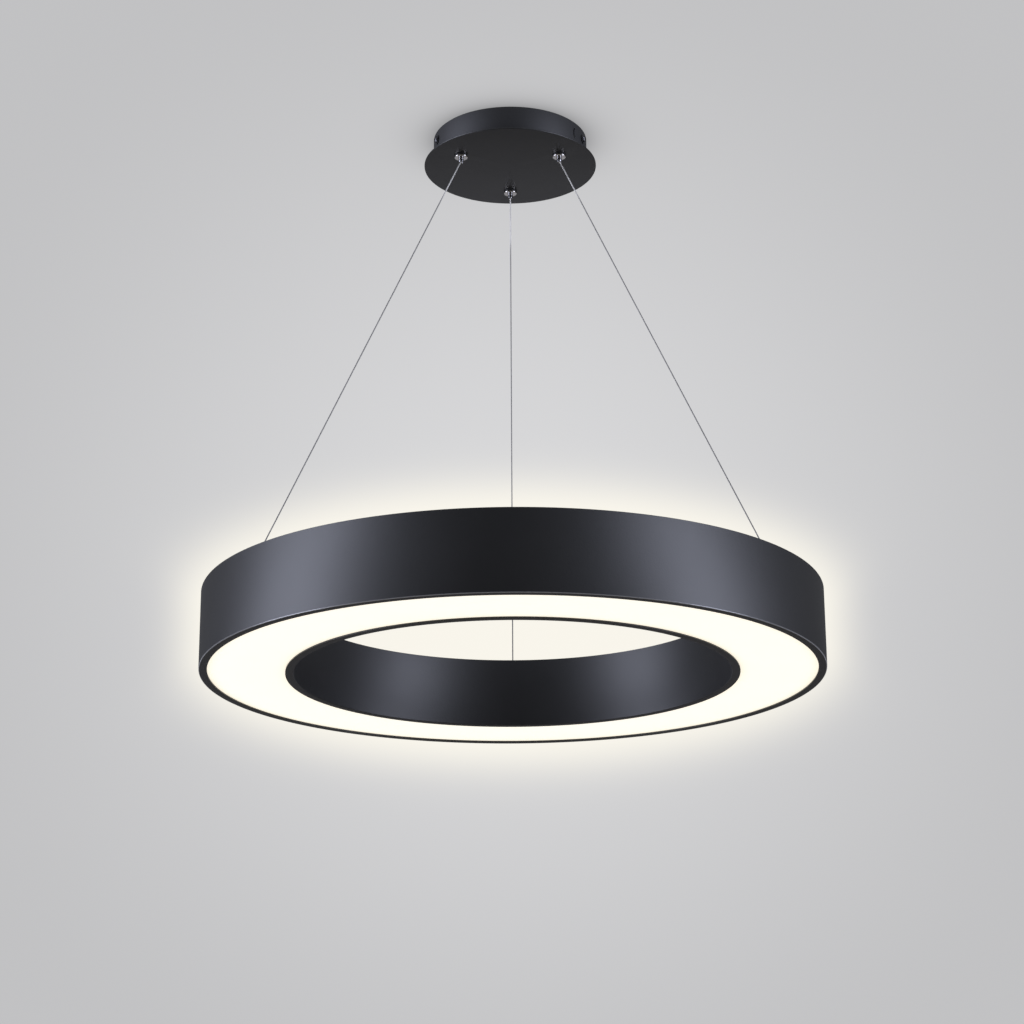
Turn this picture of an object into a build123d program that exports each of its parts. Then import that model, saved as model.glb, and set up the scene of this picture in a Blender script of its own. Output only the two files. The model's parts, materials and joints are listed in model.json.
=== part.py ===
"""Ring pendant lamp: a wide black ring on three steel wires under a round ceiling canopy.

Millimetres, +Z up. The origin is the centre of the ceiling bracket's top face, so the
ceiling is the plane z = 0 and the whole lamp hangs below it. The viewer stands on the -Y side.
Light comes from an opal diffuser that lies on the inward lips of two rolled bands.
Each wire ends in a ball in a socket on the ring and runs up through a self-locking ball gripper.
"""
from build123d import *
import os
from math import atan2, cos, degrees, hypot, radians, sin, tan

# ---------------------------------------------------------------- driving dimensions
# ring: two rolled bands with inward lips
RING_OUTER_D = 600.0
RING_HOLE_D = 420.0
OUTER_BAND_H = 76.0
INNER_BAND_H = 70.0
BAND_T = 1.5
LIP_W = 8.0
LIP_T = 1.5
BAND_CORNER_R = 0.8
BAND_EDGE_R = 0.4

# ring: what the bands hold
DIFFUSER_T = 2.5
COVER_T = 1.5
BRIDGE_COUNT = 6
BRIDGE_T = 1.5
BRIDGE_W = 24.0
BRIDGE_LEG_H = 18.0
BRIDGE_FOOT_W = 9.0
TRAY_T = 1.5
TRAY_MARGIN = 2.0
BOARD_T = 1.2
BOARD_W = 38.0
BOARD_GAP_DEG = 2.0
CHIP_SIDE = 3.0
CHIP_T = 0.8
CHIPS_PER_ROW = 8
CHIP_EDGE_GAP = 8.0

# canopy: drum on a wider plate, hung on the ceiling bracket
BRACKET_D = 116.0
BRACKET_T = 1.5
CABLE_HOLE_D = 30.0
SLOT_SPACING = 80.0
SLOT_W = 4.8
SLOT_L = 16.0
EAR_W = 14.0
EAR_DROP = 17.0
EAR_GAP = 1.2
EAR_CORNER_R = 3.5
SHADOW_GAP = 0.5
DRUM_D = 157.0
DRUM_H = 27.5
DRUM_T = 1.2
DRUM_FLANGE_W = 9.0
PLATE_D = 176.0
PLATE_T = 1.5
PLATE_EDGE_R = 0.4
SIDE_SCREW_AZ = (-20.0, 90.0, 200.0)
SIDE_SCREW_DEPTH = 11.0
SIDE_SLOT_AZ = -34.0
SIDE_SLOT_W = 3.4
SIDE_SLOT_L = 11.8
SIDE_SLOT_DEPTH = 12.8

# suspension
WIRE_COUNT = 3
FIRST_WIRE_AZ = -150.0
WIRE_D = 1.2
WIRE_DROP = 462.0
WIRE_TRAVEL = 200.0
GRIPPER_WALL_GAP = 2.6
ANCHOR_WALL_GAP = 26.5

# gripper, turned brass
GRIP_BARREL_D = 9.8
GRIP_BARREL_H = 19.0
GRIP_FLANGE_D = 13.5
GRIP_FLANGE_T = 2.2
GRIP_CONE_DEG = 8.0
GRIP_THROAT_L = 4.5
GRIP_EDGE = 0.6
NOZZLE_D = 5.2
NOZZLE_REACH = 5.0
NOZZLE_TIP_H = 2.2
NOZZLE_BORE_D = 2.0
NOZZLE_FLARE_H = 1.4
NOZZLE_FLARE_R = 2.2
NOZZLE_RIM = 0.2
BALL_D = 2.4
BALLS_PER_GRIPPER = 3
CAGE_H = 7.0
SPRING_WALL = 1.2
CAP_H = 4.0
CAP_SEAT = 2.0
BUSH_COLLAR_T = 0.8
BUSH_WALL = 1.1
GRIP_NUT_AF = 14.0
GRIP_NUT_H = 4.0
WASHER_RIM = 1.2

# ring anchor: ball socket on a stud
SOCKET_D = 12.0
SOCKET_H = 11.0
SOCKET_FLANGE_D = 16.0
SOCKET_FLANGE_T = 2.0
SOCKET_EDGE = 0.5
SOCKET_LEAN_MARGIN_DEG = 18.0
SOCKET_TOP_WALL = 3.0
WIRE_BALL_D = 5.0
STUD_D = 6.0
STUD_BELOW = 9.0
ANCHOR_NUT_AF = 10.0
ANCHOR_NUT_H = 4.5

# canopy contents
DRIVER_L = 84.0
DRIVER_W = 38.0
DRIVER_H = 16.0
DRIVER_WALL = 1.6
DRIVER_LID_T = 2.5
DRIVER_Y = 9.0
DRIVER_EAR_L = 8.0
DRIVER_EAR_T = 3.0
DRIVER_EAR_W = 19.0
DRIVER_RIM_H = 2.5
DRIVER_RIM_T = 1.6
DRIVER_GROOVES = 5
DRIVER_GROOVE_PITCH = 7.0
DRIVER_GROOVE_L = 23.0
DRIVER_GROOVE_W = 1.6
DRIVER_GROOVE_DEPTH = 0.8
DRIVER_BOARD_T = 1.6
COIL_SIZE = (18.0, 16.0, 8.0)
CAPACITOR_D = 9.0
CAPACITOR_L = 14.0
LEAD_ENTRY_INSET = 6.8
TERMINAL_L = 30.0
TERMINAL_W = 18.0
TERMINAL_H = 13.0
TERMINAL_Y = -35.0
TERMINAL_POLES = 3
TERMINAL_MOUTH_H = 4.5
TERMINAL_MOUTH_L = 3.0
TERMINAL_SCREW_H = 9.0
TERMINAL_SCREW_ROW = 5.6
TERMINAL_WELL = 6.5
TERMINAL_WELL_FLOOR = 6.5
EARTH_POST_XY = (27.0, -44.0)
LUG_D = 7.2
LUG_T = 0.8
LUG_BARREL_D = 3.2
LUG_BARREL_L = 4.0
LUG_REACH = 4.5
EARTH_LEAD_Y = -20.0
EARTH_BEND_R = 4.2
LEAD_D = 2.0
TAIL_BEND_R = 4.0
TAIL_RUN = 8.0
TAIL_RISE = 2.0
SLEEVE_D = 3.2
SLEEVE_L = 8.0

# fasteners
M3 = 3.0
M4 = 4.0
SCREW_HOLE_GAP = 0.1
THREAD_PAST_NUT = 1.5
NUT_M3_AF = 5.5
NUT_M3_H = 2.4
WASHER_D = 9.5
WASHER_T = 1.0
PAN_HEAD_D = 7.2
PAN_HEAD_H = 2.4
PAN_HEAD_EDGE_R = 1.0
RECESS_L = 4.3
RECESS_W = 0.9
RECESS_DEPTH = 1.2
TRAY_HEAD_D = 6.0
TRAY_HEAD_H = 1.5
SCREW_PAST_SHEET = 2.0
COVER_SCREW_WALL_GAP = 18.5

# clearances
FIT = 0.1
RUN = 0.05
LAY = 0.02

# ---------------------------------------------------------------- places that follow
RING_R = RING_OUTER_D / 2
HOLE_R = RING_HOLE_D / 2
BRACKET_BOTTOM = -BRACKET_T
DRUM_TOP = -SHADOW_GAP
DRUM_BOTTOM = DRUM_TOP - DRUM_H
DRUM_R = DRUM_D / 2
PLATE_BOTTOM = DRUM_BOTTOM - PLATE_T
RING_TOP = PLATE_BOTTOM - WIRE_DROP
RING_BOTTOM = RING_TOP - OUTER_BAND_H
MID_R = (RING_R + HOLE_R) / 2
CHANNEL_OUT = RING_R - BAND_T
CHANNEL_IN = HOLE_R + BAND_T
ANCHOR_PITCH_R = CHANNEL_OUT - ANCHOR_WALL_GAP
COVER_SCREW_R = CHANNEL_IN + COVER_SCREW_WALL_GAP
CHIP_ROW_OFFSET = BOARD_W / 2 - CHIP_EDGE_GAP
COVER_TOP = RING_BOTTOM + INNER_BAND_H
COVER_BOTTOM = COVER_TOP - COVER_T
WEB_BOTTOM = COVER_BOTTOM - BRIDGE_T
FOOT_BOTTOM = COVER_BOTTOM - BRIDGE_LEG_H
TRAY_BOTTOM = FOOT_BOTTOM - TRAY_T
BOARD_BOTTOM = TRAY_BOTTOM - BOARD_T
GRIPPER_PITCH_R = DRUM_R - DRUM_T - DRUM_FLANGE_W - GRIP_NUT_AF / 2 - WASHER_RIM - GRIPPER_WALL_GAP
WIRE_AZ = [FIRST_WIRE_AZ + 360.0 / WIRE_COUNT * i for i in range(WIRE_COUNT)]
BRIDGE_AZ = [FIRST_WIRE_AZ + 360.0 / BRIDGE_COUNT * i for i in range(BRIDGE_COUNT)]

FLANGE_TOP = PLATE_BOTTOM - BUSH_COLLAR_T
FLANGE_BOTTOM = FLANGE_TOP - GRIP_FLANGE_T
BARREL_TOP = FLANGE_TOP + GRIP_BARREL_H
NOZZLE_TIP = FLANGE_BOTTOM - NOZZLE_REACH
BEND_Z = NOZZLE_TIP + NOZZLE_FLARE_H
THROAT_TOP = FLANGE_BOTTOM + GRIP_THROAT_L
CAGE_TOP = THROAT_TOP + CAGE_H
BALL_ORBIT_R = WIRE_D / 2 + BALL_D / 2 + RUN
BALL_Z = THROAT_TOP + BALL_D
CAP_BOTTOM = BARREL_TOP - CAP_H

SOCKET_BASE = COVER_TOP + BUSH_COLLAR_T
SOCKET_TOP = SOCKET_BASE + SOCKET_H
WIRE_BALL_Z = SOCKET_TOP - SOCKET_TOP_WALL
STUD_TOP = WIRE_BALL_Z - WIRE_BALL_D / 2 - FIT
STUD_BOTTOM = WEB_BOTTOM - STUD_BELOW
WIRE_RUN = ANCHOR_PITCH_R - GRIPPER_PITCH_R
DRIVER_TOP = DRUM_BOTTOM + DRIVER_H
MOUTH_Z = DRUM_BOTTOM + TERMINAL_MOUTH_H
LUG_Z = DRUM_BOTTOM + LUG_BARREL_D / 2
SIDE_SCREW_Z = -SIDE_SCREW_DEPTH
TAIL_TOP = BARREL_TOP + TAIL_BEND_R + TAIL_RISE


# ---------------------------------------------------------------- helpers
def tube(r_out, r_in, z_low, z_high):
    """Round tube, or a disc when r_in is 0, standing on the Z axis."""
    height = z_high - z_low
    body = Pos(0, 0, z_low) * Cylinder(r_out, height, align=(Align.CENTER, Align.CENTER, Align.MIN))
    if r_in > 0:
        body -= Pos(0, 0, z_low) * Cylinder(r_in, height, align=(Align.CENTER, Align.CENTER, Align.MIN))
    return body


def box(x, y, z_low, z_high):
    """Box centred on the Z axis between two heights."""
    return Pos(0, 0, z_low) * Box(x, y, z_high - z_low, align=(Align.CENTER, Align.CENTER, Align.MIN))


def hex_nut(across_flats, bore_r, z_low, z_high):
    """Plain hexagon nut."""
    blank = extrude(RegularPolygon(across_flats / 2, 6, major_radius=False), z_high - z_low)
    return Pos(0, 0, z_low) * blank - tube(bore_r, 0, z_low, z_high)


def turned(points, arc=360.0):
    """Solid of revolution about Z from (radius, height) points, starting at azimuth 0."""
    face = Plane.XZ * make_face(Polyline(*points, close=True))
    return revolve(face, axis=Axis.Z, revolution_arc=arc)


def at(azimuth, radius, shape):
    """Put a shape that stands on the Z axis at a place on a pitch circle."""
    return Rot(0, 0, azimuth) * Pos(radius, 0, 0) * shape


def radial_rod(azimuth, z, radius, r_from, r_to):
    """Rod along a radius of the lamp."""
    rod = Cylinder(radius, r_to - r_from, align=(Align.CENTER, Align.CENTER, Align.MIN))
    return Rot(0, 0, azimuth) * Pos(r_from, 0, z) * Rot(0, 90, 0) * rod


def pipe(points, diameter, radii):
    """Lead along straight runs joined by tangent arcs."""
    path = FilletPolyline(*points, radius=radii)
    start = Plane(origin=path @ 0, z_dir=path % 0)
    return sweep(start * Circle(diameter / 2), path=path)


def save(name, *solids):
    """Write one node; several solids make a group."""
    shape = solids[0] if len(solids) == 1 else Compound(children=list(solids))
    shape.label = name
    export_step(shape, f"parts/{name}.step")


# ---------------------------------------------------------------- ring
def outer_band():
    """Rolled strip with the lip that carries the diffuser's outer rim."""
    face = make_face(Polyline((RING_R - LIP_W, RING_BOTTOM), (RING_R, RING_BOTTOM), (RING_R, RING_TOP),
                              (CHANNEL_OUT, RING_TOP), (CHANNEL_OUT, RING_BOTTOM + LIP_T),
                              (RING_R - LIP_W, RING_BOTTOM + LIP_T), close=True))
    corner = face.vertices().sort_by(Axis.Y)[:2].sort_by(Axis.X)[-1]
    face = fillet(corner, BAND_CORNER_R)
    edge = face.vertices().sort_by(Axis.Y)[-2:].sort_by(Axis.X)[-1]
    face = fillet(edge, BAND_EDGE_R)
    return revolve(Plane.XZ * face, axis=Axis.Z)


def inner_band():
    """Lower strip round the hole, with an outward lip for the diffuser's inner rim."""
    top = RING_BOTTOM + INNER_BAND_H
    face = make_face(Polyline((HOLE_R, RING_BOTTOM), (HOLE_R + LIP_W, RING_BOTTOM),
                              (HOLE_R + LIP_W, RING_BOTTOM + LIP_T), (CHANNEL_IN, RING_BOTTOM + LIP_T),
                              (CHANNEL_IN, top), (HOLE_R, top), close=True))
    corner = face.vertices().sort_by(Axis.Y)[:2].sort_by(Axis.X)[0]
    face = fillet(corner, BAND_CORNER_R)
    return revolve(Plane.XZ * face, axis=Axis.Z)


def diffuser():
    """Opal sheet ring that lies loose on both lips."""
    low = RING_BOTTOM + LIP_T
    return tube(CHANNEL_OUT - FIT, CHANNEL_IN + FIT, low, low + DIFFUSER_T)


def bridge(azimuth, anchored):
    """Folded sheet saddle that ties the two bands, carries the tray and takes the cover screw."""
    out_face = CHANNEL_OUT - FIT
    in_face = CHANNEL_IN + FIT
    arc = degrees(BRIDGE_W / MID_R)
    foot_top = FOOT_BOTTOM + BRIDGE_T
    profile = [(in_face, FOOT_BOTTOM), (in_face + BRIDGE_FOOT_W, FOOT_BOTTOM),
               (in_face + BRIDGE_FOOT_W, foot_top), (in_face + BRIDGE_T, foot_top),
               (in_face + BRIDGE_T, WEB_BOTTOM), (out_face - BRIDGE_T, WEB_BOTTOM),
               (out_face - BRIDGE_T, foot_top), (out_face - BRIDGE_FOOT_W, foot_top),
               (out_face - BRIDGE_FOOT_W, FOOT_BOTTOM), (out_face, FOOT_BOTTOM),
               (out_face, COVER_BOTTOM), (in_face, COVER_BOTTOM)]
    body = Rot(0, 0, azimuth - arc / 2) * turned(profile, arc)
    body -= at(azimuth, COVER_SCREW_R, tube(M4 / 2 + SCREW_HOLE_GAP, 0, WEB_BOTTOM, COVER_BOTTOM))
    for radius in tray_screw_radii():
        body -= at(azimuth, radius, tube(M3 / 2 + SCREW_HOLE_GAP, 0, FOOT_BOTTOM, FOOT_BOTTOM + BRIDGE_T))
    if anchored:
        body -= at(azimuth, ANCHOR_PITCH_R, tube(anchor_hole_r(), 0, WEB_BOTTOM, COVER_BOTTOM))
    return body


def tray_screw_radii():
    """Two screw circles, one under each row of bridge feet."""
    foot = BRIDGE_FOOT_W - M3
    return (CHANNEL_IN + FIT + foot, CHANNEL_OUT - FIT - foot)


def anchor_hole_r():
    """Hole for the insulating bush round an anchor stud."""
    return STUD_D / 2 + BUSH_WALL + 2 * FIT


def top_cover():
    """Annular sheet that closes the ring from above, level with the inner band."""
    body = tube(CHANNEL_OUT - FIT, CHANNEL_IN + FIT, COVER_BOTTOM, COVER_TOP)
    for azimuth in BRIDGE_AZ:
        body -= at(azimuth, COVER_SCREW_R, tube(M4 / 2 + SCREW_HOLE_GAP, 0, COVER_BOTTOM, COVER_TOP))
    for azimuth in WIRE_AZ:
        body -= at(azimuth, ANCHOR_PITCH_R, tube(anchor_hole_r(), 0, COVER_BOTTOM, COVER_TOP))
    return body


def cover_screws():
    """Button-head screws through the cover into the bridges."""
    screws = []
    for azimuth in BRIDGE_AZ:
        shank = tube(M4 / 2, 0, WEB_BOTTOM - SCREW_PAST_SHEET, COVER_TOP)
        screws.append(at(azimuth, COVER_SCREW_R, shank + Pos(0, 0, COVER_TOP) * pan_head()))
    return screws


def pan_head():
    """Pan head with a cross recess, standing on z = 0."""
    head = tube(PAN_HEAD_D / 2, 0, 0, PAN_HEAD_H)
    head = fillet(head.edges().sort_by(Axis.Z)[-1], PAN_HEAD_EDGE_R)
    low = PAN_HEAD_H - RECESS_DEPTH
    return head - box(RECESS_L, RECESS_W, low, PAN_HEAD_H) - box(RECESS_W, RECESS_L, low, PAN_HEAD_H)


def led_tray():
    """Aluminium ring under the bridge feet that carries the boards and spreads their heat."""
    body = tube(CHANNEL_OUT - TRAY_MARGIN, CHANNEL_IN + TRAY_MARGIN, TRAY_BOTTOM, FOOT_BOTTOM)
    for azimuth in BRIDGE_AZ:
        for radius in tray_screw_radii():
            body -= at(azimuth, radius, tube(M3 / 2 + SCREW_HOLE_GAP, 0, TRAY_BOTTOM, FOOT_BOTTOM))
    for azimuth in WIRE_AZ[:2]:
        body -= at(azimuth, ANCHOR_PITCH_R, tube(LEAD_D / 2 + FIT, 0, TRAY_BOTTOM, FOOT_BOTTOM))
    return body


def tray_screws():
    """Screws from below that clamp the tray to the bridge feet."""
    screws = []
    for azimuth in BRIDGE_AZ:
        for radius in tray_screw_radii():
            head = tube(TRAY_HEAD_D / 2, 0, TRAY_BOTTOM - TRAY_HEAD_H, TRAY_BOTTOM)
            shank = tube(M3 / 2, 0, TRAY_BOTTOM, FOOT_BOTTOM + BRIDGE_T + SCREW_PAST_SHEET)
            screws.append(at(azimuth, radius, head + shank))
    return screws


def led_board(azimuth):
    """One arc of the circuit board under the tray, centred on a bridge."""
    arc = 360.0 / BRIDGE_COUNT - BOARD_GAP_DEG
    low, high = MID_R - BOARD_W / 2, MID_R + BOARD_W / 2
    profile = [(low, BOARD_BOTTOM), (high, BOARD_BOTTOM), (high, TRAY_BOTTOM), (low, TRAY_BOTTOM)]
    return Rot(0, 0, azimuth - arc / 2) * turned(profile, arc)


def led_chips():
    """Two rows of square emitters on each board."""
    arc = 360.0 / BRIDGE_COUNT - BOARD_GAP_DEG
    step = arc / CHIPS_PER_ROW
    chips = []
    for centre in BRIDGE_AZ:
        for column in range(CHIPS_PER_ROW):
            azimuth = centre - arc / 2 + step * (column + 0.5)
            for offset in (-CHIP_ROW_OFFSET, CHIP_ROW_OFFSET):
                chip = box(CHIP_SIDE, CHIP_SIDE, BOARD_BOTTOM - CHIP_T, BOARD_BOTTOM)
                chips.append(at(azimuth, MID_R + offset, chip))
    return chips


def ring_leads():
    """Feeds from the two live anchor studs, down through the tray to the boards."""
    lead = tube(LEAD_D / 2, 0, TRAY_BOTTOM, STUD_BOTTOM)
    return [at(azimuth, ANCHOR_PITCH_R, lead) for azimuth in WIRE_AZ[:2]]


# ---------------------------------------------------------------- ring anchors
def anchor_socket(azimuth):
    """Turned barrel whose ball seat opens upwards in a wide cone, so the wire can lean."""
    ball_r = WIRE_BALL_D / 2 + RUN
    lean = degrees(atan2(WIRE_RUN, BEND_Z - WIRE_BALL_Z - WIRE_TRAVEL)) + SOCKET_LEAN_MARGIN_DEG
    barrel = tube(SOCKET_D / 2, 0, SOCKET_BASE, SOCKET_TOP)
    barrel = chamfer(barrel.edges().sort_by(Axis.Z)[-1], SOCKET_EDGE)
    barrel += tube(SOCKET_FLANGE_D / 2, 0, SOCKET_BASE, SOCKET_BASE + SOCKET_FLANGE_T)
    barrel -= tube(STUD_D / 2 + RUN, 0, SOCKET_BASE, STUD_TOP)
    barrel -= tube(ball_r, 0, STUD_TOP, WIRE_BALL_Z)
    barrel -= Pos(0, 0, WIRE_BALL_Z) * Sphere(ball_r)
    mouth = Cone(0, SOCKET_TOP_WALL * tan(radians(lean)), SOCKET_TOP_WALL,
                 align=(Align.CENTER, Align.CENTER, Align.MIN))
    barrel -= Pos(0, 0, WIRE_BALL_Z) * mouth
    return at(azimuth, ANCHOR_PITCH_R, barrel)


def anchor_bush(azimuth):
    """Insulating bush from above and its washer from below."""
    stud_hole = STUD_D / 2 + FIT
    sleeve = tube(stud_hole + BUSH_WALL, stud_hole, WEB_BOTTOM, COVER_TOP)
    collar = tube(SOCKET_FLANGE_D / 2, stud_hole, COVER_TOP, SOCKET_BASE)
    washer = tube(ANCHOR_NUT_AF / 2 + WASHER_RIM, stud_hole, WEB_BOTTOM - BUSH_COLLAR_T, WEB_BOTTOM)
    return [at(azimuth, ANCHOR_PITCH_R, sleeve + collar), at(azimuth, ANCHOR_PITCH_R, washer)]


def anchor_stud(azimuth):
    """Stud that closes the socket from below and clamps it to the bridge."""
    return at(azimuth, ANCHOR_PITCH_R, tube(STUD_D / 2, 0, STUD_BOTTOM, STUD_TOP))


def anchor_nut(azimuth):
    """Nut under the bridge."""
    high = WEB_BOTTOM - BUSH_COLLAR_T
    return at(azimuth, ANCHOR_PITCH_R, hex_nut(ANCHOR_NUT_AF, STUD_D / 2 + FIT, high - ANCHOR_NUT_H, high))


def wire_ball(azimuth):
    """Ball pressed on the wire's lower end."""
    return at(azimuth, ANCHOR_PITCH_R, Pos(0, 0, WIRE_BALL_Z) * Sphere(WIRE_BALL_D / 2))


# ---------------------------------------------------------------- wires
def suspension_wire(azimuth):
    """Free stretch from the gripper's mouth down to the ball; its top end is cut level."""
    drop = BEND_Z - WIRE_BALL_Z
    length = hypot(WIRE_RUN, drop)
    past = WIRE_D
    direction = (WIRE_RUN / length, 0, -drop / length)
    start = (GRIPPER_PITCH_R - direction[0] * past, 0, BEND_Z - direction[2] * past)
    rod_length = length + past - WIRE_BALL_D / 2 - LAY
    rod = Cylinder(WIRE_D / 2, rod_length, align=(Align.CENTER, Align.CENTER, Align.MIN))
    wire = Plane(origin=start, z_dir=direction) * rod
    wire -= Pos(GRIPPER_PITCH_R, 0, BEND_Z) * box(4 * past, 4 * past, 0, 3 * past)
    return Rot(0, 0, azimuth) * wire


def tail_route(index):
    """Route of a wire's upper end, from the gripper's mouth up and over inside the canopy."""
    azimuth = radians(WIRE_AZ[index])
    x, y = GRIPPER_PITCH_R * cos(azimuth), GRIPPER_PITCH_R * sin(azimuth)
    run = TAIL_BEND_R + TAIL_RUN
    step = (run, 0) if y > 0 else (0, run)
    return [(x, y, BEND_Z), (x, y, TAIL_TOP), (x + step[0], y + step[1], TAIL_TOP)]


def wire_tail(index):
    """Upper end of one wire, through its gripper and bent over."""
    return pipe(tail_route(index), WIRE_D, [TAIL_BEND_R])


def crimp_sleeve(index):
    """Crimp on the end of a wire's tail."""
    (x0, y0, _), (x1, y1, z) = tail_route(index)[1:]
    heading = degrees(atan2(y1 - y0, x1 - x0))
    rod = Cylinder(SLEEVE_D / 2, SLEEVE_L, align=(Align.CENTER, Align.CENTER, Align.MIN))
    return Pos(x1, y1, z) * Rot(0, 0, heading) * Rot(0, 90, 0) * rod


# ---------------------------------------------------------------- grippers
def cone_radius(z):
    """Radius of the clamping cone, which narrows downwards and just clears the resting balls."""
    slope = tan(radians(GRIP_CONE_DEG))
    at_ball = BALL_ORBIT_R + (BALL_D / 2 + RUN) / cos(radians(GRIP_CONE_DEG))
    return at_ball + (z - BALL_Z) * slope


def gripper_body():
    """Flanged barrel with the nozzle's guide bore, the clamping cone and the spring chamber."""
    guide_r = NOZZLE_D / 2 + RUN
    top_r = cone_radius(CAP_BOTTOM - CAP_SEAT)
    body = tube(GRIP_FLANGE_D / 2, 0, FLANGE_BOTTOM, FLANGE_TOP)
    body = chamfer(body.edges().sort_by(Axis.Z)[0], GRIP_EDGE)
    body += tube(GRIP_BARREL_D / 2, 0, FLANGE_TOP, BARREL_TOP)
    bore = [(0, FLANGE_BOTTOM - 1), (guide_r, FLANGE_BOTTOM - 1), (guide_r, THROAT_TOP),
            (cone_radius(THROAT_TOP), THROAT_TOP), (top_r, CAP_BOTTOM - CAP_SEAT),
            (top_r, BARREL_TOP + 1), (0, BARREL_TOP + 1)]
    return body - turned(bore)


def gripper_plunger():
    """Nozzle and ball cage in one: pressing it lifts the balls out of the cone."""
    nozzle_r = NOZZLE_D / 2
    bore_r = NOZZLE_BORE_D / 2
    profile = [(bore_r, BEND_Z), (NOZZLE_FLARE_R, NOZZLE_TIP), (NOZZLE_FLARE_R + NOZZLE_RIM, NOZZLE_TIP),
               (nozzle_r, NOZZLE_TIP + NOZZLE_TIP_H), (nozzle_r, CAGE_TOP), (bore_r, CAGE_TOP)]
    body = turned(profile)
    turn = 360.0 / BALLS_PER_GRIPPER
    for ball in range(BALLS_PER_GRIPPER):
        body -= radial_rod(turn * ball, BALL_Z, BALL_D / 2 + RUN, bore_r / 2, 2 * nozzle_r)
    return body


def gripper_balls():
    """Steel balls between the wire and the cone."""
    turn = 360.0 / BALLS_PER_GRIPPER
    return [Rot(0, 0, turn * ball) * Pos(BALL_ORBIT_R, 0, BALL_Z) * Sphere(BALL_D / 2)
            for ball in range(BALLS_PER_GRIPPER)]


def gripper_spring():
    """Envelope of the small coil spring over the cage."""
    outer = NOZZLE_D / 2 - FIT
    return tube(outer, outer - SPRING_WALL, CAGE_TOP + LAY, CAP_BOTTOM - LAY)


def gripper_cap():
    """Plug that closes the barrel over the spring."""
    bore_r = cone_radius(CAP_BOTTOM - CAP_SEAT)
    return tube(bore_r - RUN, NOZZLE_BORE_D / 2, CAP_BOTTOM, BARREL_TOP)


def gripper_bush():
    """Insulating collar and sleeve in the plate's hole, and the washer inside."""
    hole = GRIP_BARREL_D / 2 + RUN
    collar = tube(GRIP_FLANGE_D / 2, hole, FLANGE_TOP, PLATE_BOTTOM)
    sleeve = tube(hole + BUSH_WALL, hole, PLATE_BOTTOM, DRUM_BOTTOM)
    washer = tube(GRIP_NUT_AF / 2 + WASHER_RIM, hole, DRUM_BOTTOM, DRUM_BOTTOM + BUSH_COLLAR_T)
    return [collar + sleeve, washer]


def gripper_nut():
    """Nut that clamps the barrel in the plate."""
    low = DRUM_BOTTOM + BUSH_COLLAR_T
    return hex_nut(GRIP_NUT_AF, GRIP_BARREL_D / 2 + RUN, low, low + GRIP_NUT_H)


# ---------------------------------------------------------------- canopy shell
def ceiling_bracket():
    """Round plate with two ceiling slots, a cable hole and three ears bent down."""
    body = tube(BRACKET_D / 2, CABLE_HOLE_D / 2, BRACKET_BOTTOM, 0)
    for side in (-1, 1):
        slot = extrude(SlotOverall(SLOT_L, SLOT_W), BRACKET_T)
        body -= Pos(side * SLOT_SPACING / 2, 0, BRACKET_BOTTOM) * slot
    reach = DRUM_R - DRUM_T - EAR_GAP
    for azimuth in SIDE_SCREW_AZ:
        arm_len = reach - BRACKET_D / 4
        arm = Pos(reach - arm_len / 2, 0, 0) * box(arm_len, EAR_W, BRACKET_BOTTOM, 0)
        ear = Pos(reach - BRACKET_T / 2, 0, 0) * box(BRACKET_T, EAR_W, -EAR_DROP, 0)
        ear = fillet(ear.edges().filter_by(Axis.X).group_by(Axis.Z)[0], EAR_CORNER_R)
        body += Rot(0, 0, azimuth) * (arm + ear)
    body -= tube(CABLE_HOLE_D / 2, 0, BRACKET_BOTTOM, 0)
    for azimuth in SIDE_SCREW_AZ:
        body -= radial_rod(azimuth, SIDE_SCREW_Z, M4 / 2 + SCREW_HOLE_GAP, reach - 2 * BRACKET_T, reach + 1)
    return body


def canopy_drum():
    """Drum wall with a turned-in bottom flange, three screw holes and one upright slot."""
    inner = DRUM_R - DRUM_T
    flange_top = DRUM_BOTTOM + DRUM_T
    profile = [(inner - DRUM_FLANGE_W, DRUM_BOTTOM), (DRUM_R, DRUM_BOTTOM), (DRUM_R, DRUM_TOP),
               (inner, DRUM_TOP), (inner, flange_top), (inner - DRUM_FLANGE_W, flange_top)]
    body = turned(profile)
    for azimuth in SIDE_SCREW_AZ:
        body -= radial_rod(azimuth, SIDE_SCREW_Z, M4 / 2 + 2 * SCREW_HOLE_GAP, inner - 1, DRUM_R + 1)
    slot = extrude(SlotOverall(SIDE_SLOT_L, SIDE_SLOT_W), 3 * DRUM_T)
    slot = Pos(inner - DRUM_T, 0, -SIDE_SLOT_DEPTH) * Rot(0, 90, 0) * slot
    return body - Rot(0, 0, SIDE_SLOT_AZ) * slot


def post_places():
    """Where the plate's welded studs stand: two for the driver, the terminal block and the earth."""
    ear_x = DRIVER_L / 2 + DRIVER_EAR_L / 2
    return [(-ear_x, DRIVER_Y), (ear_x, DRIVER_Y), (0, TERMINAL_Y), EARTH_POST_XY]


def canopy_plate():
    """Wide round plate under the drum, with its welded studs."""
    body = tube(PLATE_D / 2, 0, PLATE_BOTTOM, DRUM_BOTTOM)
    body = fillet(body.edges().filter_by(GeomType.CIRCLE), PLATE_EDGE_R)
    hole = GRIP_BARREL_D / 2 + BUSH_WALL + 2 * RUN
    for azimuth in WIRE_AZ:
        body -= at(azimuth, GRIPPER_PITCH_R, tube(hole, 0, PLATE_BOTTOM, DRUM_BOTTOM))
    for (x, y), seat in zip(post_places(), post_seats()):
        body += Pos(x, y, 0) * tube(M3 / 2, 0, DRUM_BOTTOM, DRUM_BOTTOM + seat + NUT_M3_H + THREAD_PAST_NUT)
    return body


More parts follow.
